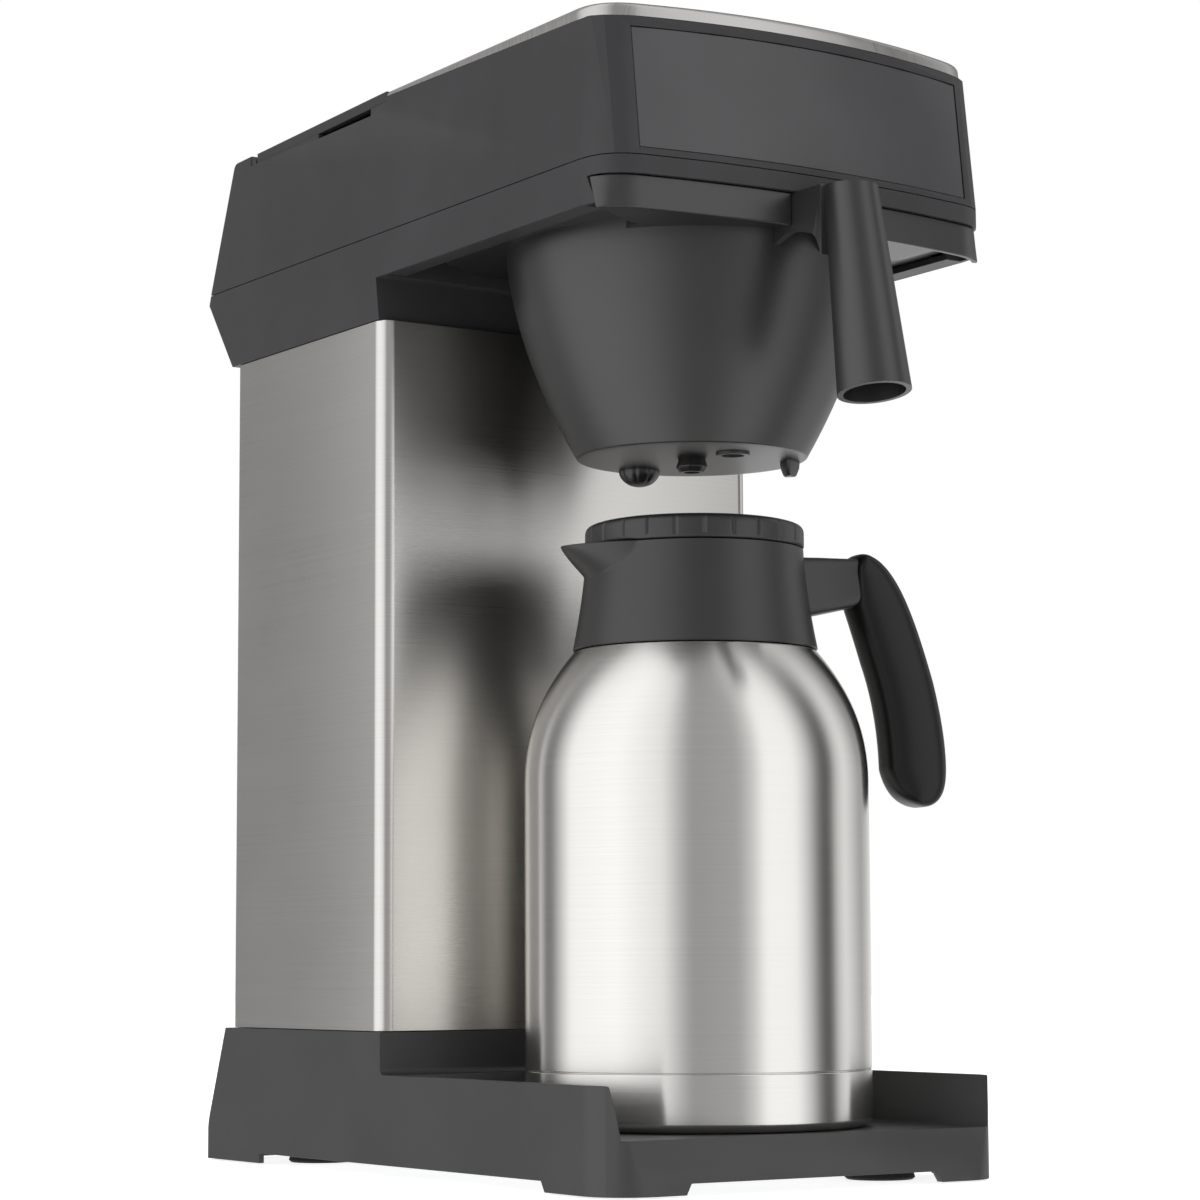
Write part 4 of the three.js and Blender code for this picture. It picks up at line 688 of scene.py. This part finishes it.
def flange():
    """The running flange round the bowl: a flat ring between the bowl and a round-cornered outline,
    whose distance from the bowl's axis is read off at even angles."""
    outline = rounded([[-FLANGE_HALF, FLANGE_FRONT], [FLANGE_HALF, FLANGE_FRONT],
                       [FLANGE_HALF, FLANGE_REAR, FLANGE_CORNER],
                       [-FLANGE_HALF, FLANGE_REAR, FLANGE_CORNER]], steps=24)
    outline = resampled(np.concatenate([outline, outline[:1]]), 4000)[:-1] - [BASKET_X, BASKET_Y]
    angle = np.arange(200) * TAU / 200
    own = np.arctan2(outline[:, 1], outline[:, 0]) % TAU
    order = np.argsort(own)
    reach = np.interp(angle, own[order], np.linalg.norm(outline, axis=1)[order], period=TAU)
    reach = np.maximum(reach, BOWL_RADIUS - 1)
    z0, z1 = FLANGE_LOW, FLANGE_LOW + FLANGE_THICK
    inner, edge = np.full_like(reach, BOWL_RADIUS - 1.4), 0.5
    ring = [(reach - edge, z0), (reach, z0 + edge), (reach, z1 - edge), (reach - edge, z1),
            (inner, z1), (inner, z0)]
    points = np.array([np.stack([BASKET_X + r * np.cos(angle), BASKET_Y + r * np.sin(angle),
                                 np.full_like(angle, z)], 1) for r, z in ring])
    return grid(points, wrap_rows=True)


def shelf():
    """The web between the apron and the bowl: a slab from the front line back to the bowl's wall. Its
    depth is full in the middle and falls to none over the ramp, by the smooth step 3 s^2 - 2 s^3."""
    x = np.linspace(-FLANGE_HALF, FLANGE_HALF, 161)
    line = front_line(APRON_FACE, 1.6)
    front = np.interp(x, line[:, 0], line[:, 1])
    wall_y = BASKET_Y - np.sqrt(np.clip(BOWL_RADIUS ** 2 - x ** 2, 0, None)) + 1.2
    back = np.where(np.abs(x) < BOWL_RADIUS - 16, wall_y, np.maximum(20, np.minimum(wall_y, 30)))
    front = np.minimum(front, back - 1)
    z1 = FLANGE_LOW + FLANGE_THICK
    deep = np.clip((SHELF_HALF - np.abs(x)) / SHELF_RAMP, 0, 1)
    z0 = FLANGE_LOW - (FLANGE_LOW - APRON_TOP + APRON_HEIGHT - 1.0) * deep ** 2 * (3 - 2 * deep)
    points = np.stack([np.stack([x, y, z + 0 * x], 1)
                       for y, z in ((front, z0), (front, z1), (back, z1), (back, z0))], 1)
    return capped(points)


def ribbed_foot():
    """The rear foot: half an ellipsoid with eight grooves, as its radius dips by a twentieth where
    the cosine of eight times the angle is positive."""
    radius, depth = 9.7, 7.5
    a = np.linspace(0, math.pi / 2, 14)
    profile = np.stack([radius * np.sin(a), BOWL_BOTTOM - depth * np.cos(a)], 1)
    profile = np.concatenate([profile, [[radius, BOWL_BOTTOM + 1], [0, BOWL_BOTTOM + 1]]])

    def ripple(r, z, turn):
        return -0.05 * r * np.clip(np.cos(8 * turn), 0, 1) ** 2

    return lathe(profile, BASKET_X, BASKET_Y + 43, 96, ripple)


def outlet():
    """The outlet nub and its bore: the nub's radius swells and shrinks by a fortieth, eight times
    round, and the bore stays round."""
    low, high = BOWL_BOTTOM - 6, BOWL_BOTTOM + 1
    profile = rounded([[OUTLET_BORE, low], [5.6, low, 0.5], [7.2, low + 2.4, 0.8], [5.8, high],
                       [OUTLET_BORE, high], [OUTLET_BORE, low]], closed=False)

    def sides(r, z, turn):
        return 0.025 * r * np.cos(8 * turn) * (r > OUTLET_BORE + 0.4)

    return lathe(profile, BASKET_X, BASKET_Y, 96, sides)


def bolt_ring():
    """A low raised ring beside the outlet."""
    low, high, inner, outer = BOWL_BOTTOM - 1.2, BOWL_BOTTOM + 0.8, 5.2, 7.7
    profile = rounded([[inner, low], [outer, low, 0.4], [outer, high], [inner, high], [inner, low]],
                      closed=False)
    return lathe(profile, BASKET_X + 4.5, BASKET_Y - 26, 64)


def fin_foot():
    """The small fin: a three-cornered plan that shrinks towards its tip."""
    plan = rounded([[36, BASKET_Y - 26, 1.2], [48, BASKET_Y - 20, 1.2], [41, BASKET_Y - 11, 2]])
    centre = plan.mean(0)
    rows = [np.column_stack([centre + (plan - centre) * size, np.full(len(plan), BOWL_BOTTOM + up)])
            for up, size in ((1, 1.0), (-3, 0.92), (-6.2, 0.66), (-7, 0.5))]
    return capped(np.array(rows))


piece("filter_basket_moulding",
      [bowl(), apron(-1), apron(1), flange(), shelf(), ribbed_foot(), outlet(), bolt_ring(), fin_foot()],
      basket_plastic, "basket", "filter_basket")


# ---- fascia and top plate ------------------------------------------------------------------------
HOOD_BOTTOM = 441.3
HOOD_FRONT_HEIGHT = 62.1
LEAN_MIDDLE, LEAN_RATE = 2.4, 0.0006   # how far the front leans back at its top, and more with x^2
LEAN_DEPTH = 60.0                   # how far behind the front the lean dies out
FACE = -9.3
FASCIA_HALF, FASCIA_FRONT, FASCIA_BACK, FASCIA_EDGE = 90.0, 0.6, 2.3, 0.4
ROOF_FRONT, ROOF_RISE = 503.7, 3.8  # the roof line's height at the front, and its rise to the rear
PLATE_EDGE, PLATE_SIDE = 2.2, 30.0  # radius of the plate's rounded edge, and a point along its side
fascia_low, fascia_high = map(machine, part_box("fascia_panel"))
plate_high = machine(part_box("top_plate")[1])


def lean_back(points):
    """Moves points back as the hood's front does: with the height, and with x squared."""
    x, y, z = np.moveaxis(points, -1, 0)
    rise = np.maximum(0, (z - HOOD_BOTTOM) / HOOD_FRONT_HEIGHT)
    near = np.clip((LEAN_DEPTH - y) / LEAN_DEPTH, 0, 1)
    return np.stack([x, y + rise * near * (LEAN_MIDDLE + LEAN_RATE * x ** 2), z], -1)


def fascia():
    """The panel: a soft-edged strip, thin in y, carried across the hood's curved front."""
    half, z0, z1 = FASCIA_HALF, fascia_low[2], fascia_high[2]
    x = np.concatenate([[-half], np.linspace(FASCIA_EDGE - half, half - FASCIA_EDGE, 120), [half]])
    ease = np.where(np.abs(x) > half - FASCIA_EDGE / 2, FASCIA_EDGE, 0.0)
    section = rounded([[FASCIA_FRONT, z0, FASCIA_EDGE], [FASCIA_FRONT, z1, FASCIA_EDGE],
                       [FASCIA_BACK, z1], [FASCIA_BACK, z0]])
    depth = np.maximum(section[None, :, 0], FASCIA_FRONT + ease[:, None])
    points = np.stack([x[:, None] * np.ones(len(section)),
                       FACE + depth + BULGE * x[:, None] ** 2,
                       section[None, :, 1] * np.ones((len(x), 1))], -1)
    return capped(lean_back(points))


def top_plate():
    """The plate's plan is the housing's front line closed straight across the back. Its rings rise
    from the sloping roof line to the top, where each ring draws in along a quarter circle."""
    half, rear, top = plate_high
    rows = []
    for step, share in ((0, 0.0), (0, 0.6)) + tuple((step, 1.0) for step in range(7)):
        a = math.pi / 2 * step / 6
        inset = PLATE_EDGE * (1 - math.cos(a))
        side = half - inset
        back = [[side, rear - PLATE_SIDE], [side, rear - inset],
                [-side, rear - inset], [-side, rear - PLATE_SIDE]]
        line = np.concatenate([front_line(FACE + 0.5, inset, half), back])
        roof = ROOF_FRONT + ROOF_RISE * (line[:, 1] - FACE) / (rear - FACE)
        level = top - PLATE_EDGE + PLATE_EDGE * math.sin(a)
        rows.append(np.column_stack([line, roof + (level - roof) * share]))
    return capped(lean_back(np.array(rows)))


piece("fascia_skin", [fascia()], fascia_satin, "housing", "fascia_panel", smooth=30)
piece("top_plate_skin", [top_plate()], top_steel, "housing", "top_plate", smooth=30)


# ---- floor, light, camera ------------------------------------------------------------------------
def studio_floor():
    """A wide pale floor under the feet. Reflections look past it, so upright steel stays even."""
    half = 6.0
    mesh = bpy.data.meshes.new("studio_floor")
    mesh.from_pydata([(-half, -half, 0), (half, -half, 0), (half, half, 0), (-half, half, 0)], [],
                     [(0, 1, 2, 3)])
    material, tree, shader = new_material("studio floor paper")
    fibres = noise(tree, object_pattern(tree), scale=3.0)
    shade(tree, fibres, (0.86, 0.86, 0.86), 0.01, shader.inputs["Base Color"])
    for socket, value in (("Roughness", 0.9), ("Specular IOR Level", 0.1),
                          ("Emission Color", (1, 1, 1, 1)), ("Emission Strength", 0.74)):
        shader.inputs[socket].default_value = value
    mesh.materials.append(material)
    obj = bpy.data.objects.new("studio_floor", mesh)
    bpy.context.scene.collection.objects.link(obj)
    obj.visible_glossy = False


# Light from all round, by compass angle in degrees from +X towards +Y: pale screens with dark gaps.
SCREENS = ((0, 0.62), (14, 0.22), (60, 0.18), (90, 0.26), (97, 0.62), (108, 0.56), (115, 0.18),
           (123, 0.24), (132, 0.66), (142, 1.12), (180, 1.20), (212, 0.94), (222, 0.58), (231, 0.36),
           (262, 0.42), (272, 0.68), (281, 1.12), (303, 1.10), (314, 0.66), (322, 0.24), (328, 0.08),
           (334, 0.10), (341, 0.60), (350, 0.88))
BRIGHTEST = 1.2
BEHIND = (math.radians(52), math.radians(-25))   # compass and height of the pale floor behind
BEHIND_TIGHTNESS, BEHIND_LIGHT = 5.0, 1.3


def world():
    """Even white behind the machine for the camera. For everything else the compass angle runs
    through a ramp of pale screens and dark gaps, and low down behind there is a broad pale patch."""
    studio = bpy.data.worlds.new("studio")
    bpy.context.scene.world = studio
    studio.use_nodes = True
    tree = studio.node_tree
    link = tree.links.new
    back = tree.nodes["Background"]
    back.inputs["Color"].default_value = (1, 1, 1, 1)
    where = add(tree, "ShaderNodeTexCoord")
    parts = add(tree, "ShaderNodeSeparateXYZ")
    link(where.outputs["Generated"], parts.inputs[0])
    turns = maths(tree, "DIVIDE", maths(tree, "ARCTAN2", parts.outputs["Y"], parts.outputs["X"]), TAU)
    ramp = add(tree, "ShaderNodeValToRGB")
    link(maths(tree, "FRACT", turns, 0.0), ramp.inputs["Fac"])
    stops = ramp.color_ramp.elements
    first = SCREENS[0][1] / BRIGHTEST
    for stop, position in zip(stops, (0.0, 1.0)):
        stop.position, stop.color = position, (first, first, first, 1)
    for compass, light in SCREENS[1:]:
        level = light / BRIGHTEST
        stops.new(compass / 360).color = (level, level, level, 1)
    screens = add(tree, "ShaderNodeBackground", Strength=BRIGHTEST)
    link(ramp.outputs["Color"], screens.inputs["Color"])
    compass, height = BEHIND
    facing = add(tree, "ShaderNodeVectorMath", operation="DOT_PRODUCT")
    facing.inputs[1].default_value = (math.cos(compass) * math.cos(height),
                                      math.sin(compass) * math.cos(height), math.sin(height))
    link(where.outputs["Generated"], facing.inputs[0])
    tight = maths(tree, "POWER", maths(tree, "MAXIMUM", facing.outputs["Value"], 0.0), BEHIND_TIGHTNESS)
    behind = add(tree, "ShaderNodeBackground")
    link(maths(tree, "MULTIPLY", tight, BEHIND_LIGHT), behind.inputs["Strength"])
    around = add(tree, "ShaderNodeAddShader")
    link(screens.outputs[0], around.inputs[0])
    link(behind.outputs[0], around.inputs[1])
    ray = add(tree, "ShaderNodeLightPath")
    mix = add(tree, "ShaderNodeMixShader")
    link(ray.outputs["Is Camera Ray"], mix.inputs[0])
    link(around.outputs[0], mix.inputs[1])
    link(back.outputs[0], mix.inputs[2])
    link(mix.outputs[0], tree.nodes["World Output"].inputs["Surface"])


def softbox(name, place, target, width, height, power):
    """A rectangular soft light at `place`, facing `target`, both in row metres."""
    light = bpy.data.lights.new(name, "AREA")
    light.shape = "RECTANGLE"
    light.size, light.size_y = width, height
    light.energy = power
    obj = bpy.data.objects.new(name, light)
    aim = Vector(target) - Vector(place)
    obj.matrix_world = Matrix.Translation(place) @ aim.to_track_quat("-Z", "Y").to_matrix().to_4x4()
    obj.visible_glossy = False
    bpy.context.scene.collection.objects.link(obj)


studio_floor()
world()
softbox("key_right", (1.3, -1.3, 0.9), (0.0, 0.0, 0.25), 0.8, 1.4, 5)
softbox("key_left", (-1.6, -0.4, 0.8), (0.0, 0.0, 0.25), 0.8, 1.4, 6)
softbox("overhead", (0.0, -0.2, 1.7), (0.0, 0.0, 0.3), 1.2, 1.2, 7)

CAMERA_PLACE = (-0.8691, -1.1369, 0.098)
CAMERA_YAW, CAMERA_PITCH, CAMERA_ROLL = (math.radians(a) for a in (33.685, 6.267, -0.257))
LENS, SENSOR = 98.712, 36.0         # millimetres


def camera():
    """Camera at the front left, low, looking a little up; its axes come from yaw, pitch and roll."""
    data = bpy.data.cameras.new("camera")
    data.lens, data.sensor_width = LENS, SENSOR
    data.clip_start, data.clip_end = 0.05, 50.0
    obj = bpy.data.objects.new("camera", data)
    bpy.context.scene.collection.objects.link(obj)
    yaw, pitch, roll = CAMERA_YAW, CAMERA_PITCH, CAMERA_ROLL
    forward = Vector((math.sin(yaw) * math.cos(pitch), math.cos(yaw) * math.cos(pitch), math.sin(pitch)))
    level = Vector((math.cos(yaw), -math.sin(yaw), 0))
    upward = level.cross(forward)
    right = level * math.cos(roll) + upward * math.sin(roll)
    up = upward * math.cos(roll) - level * math.sin(roll)
    turn = Matrix((right, up, -forward)).transposed().to_4x4()
    obj.matrix_world = Matrix.Translation(Vector(CAMERA_PLACE) + Vector(SHIFT / 1000)) @ turn
    bpy.context.scene.camera = obj


camera()
bpy.context.scene.view_settings.view_transform = "Standard"
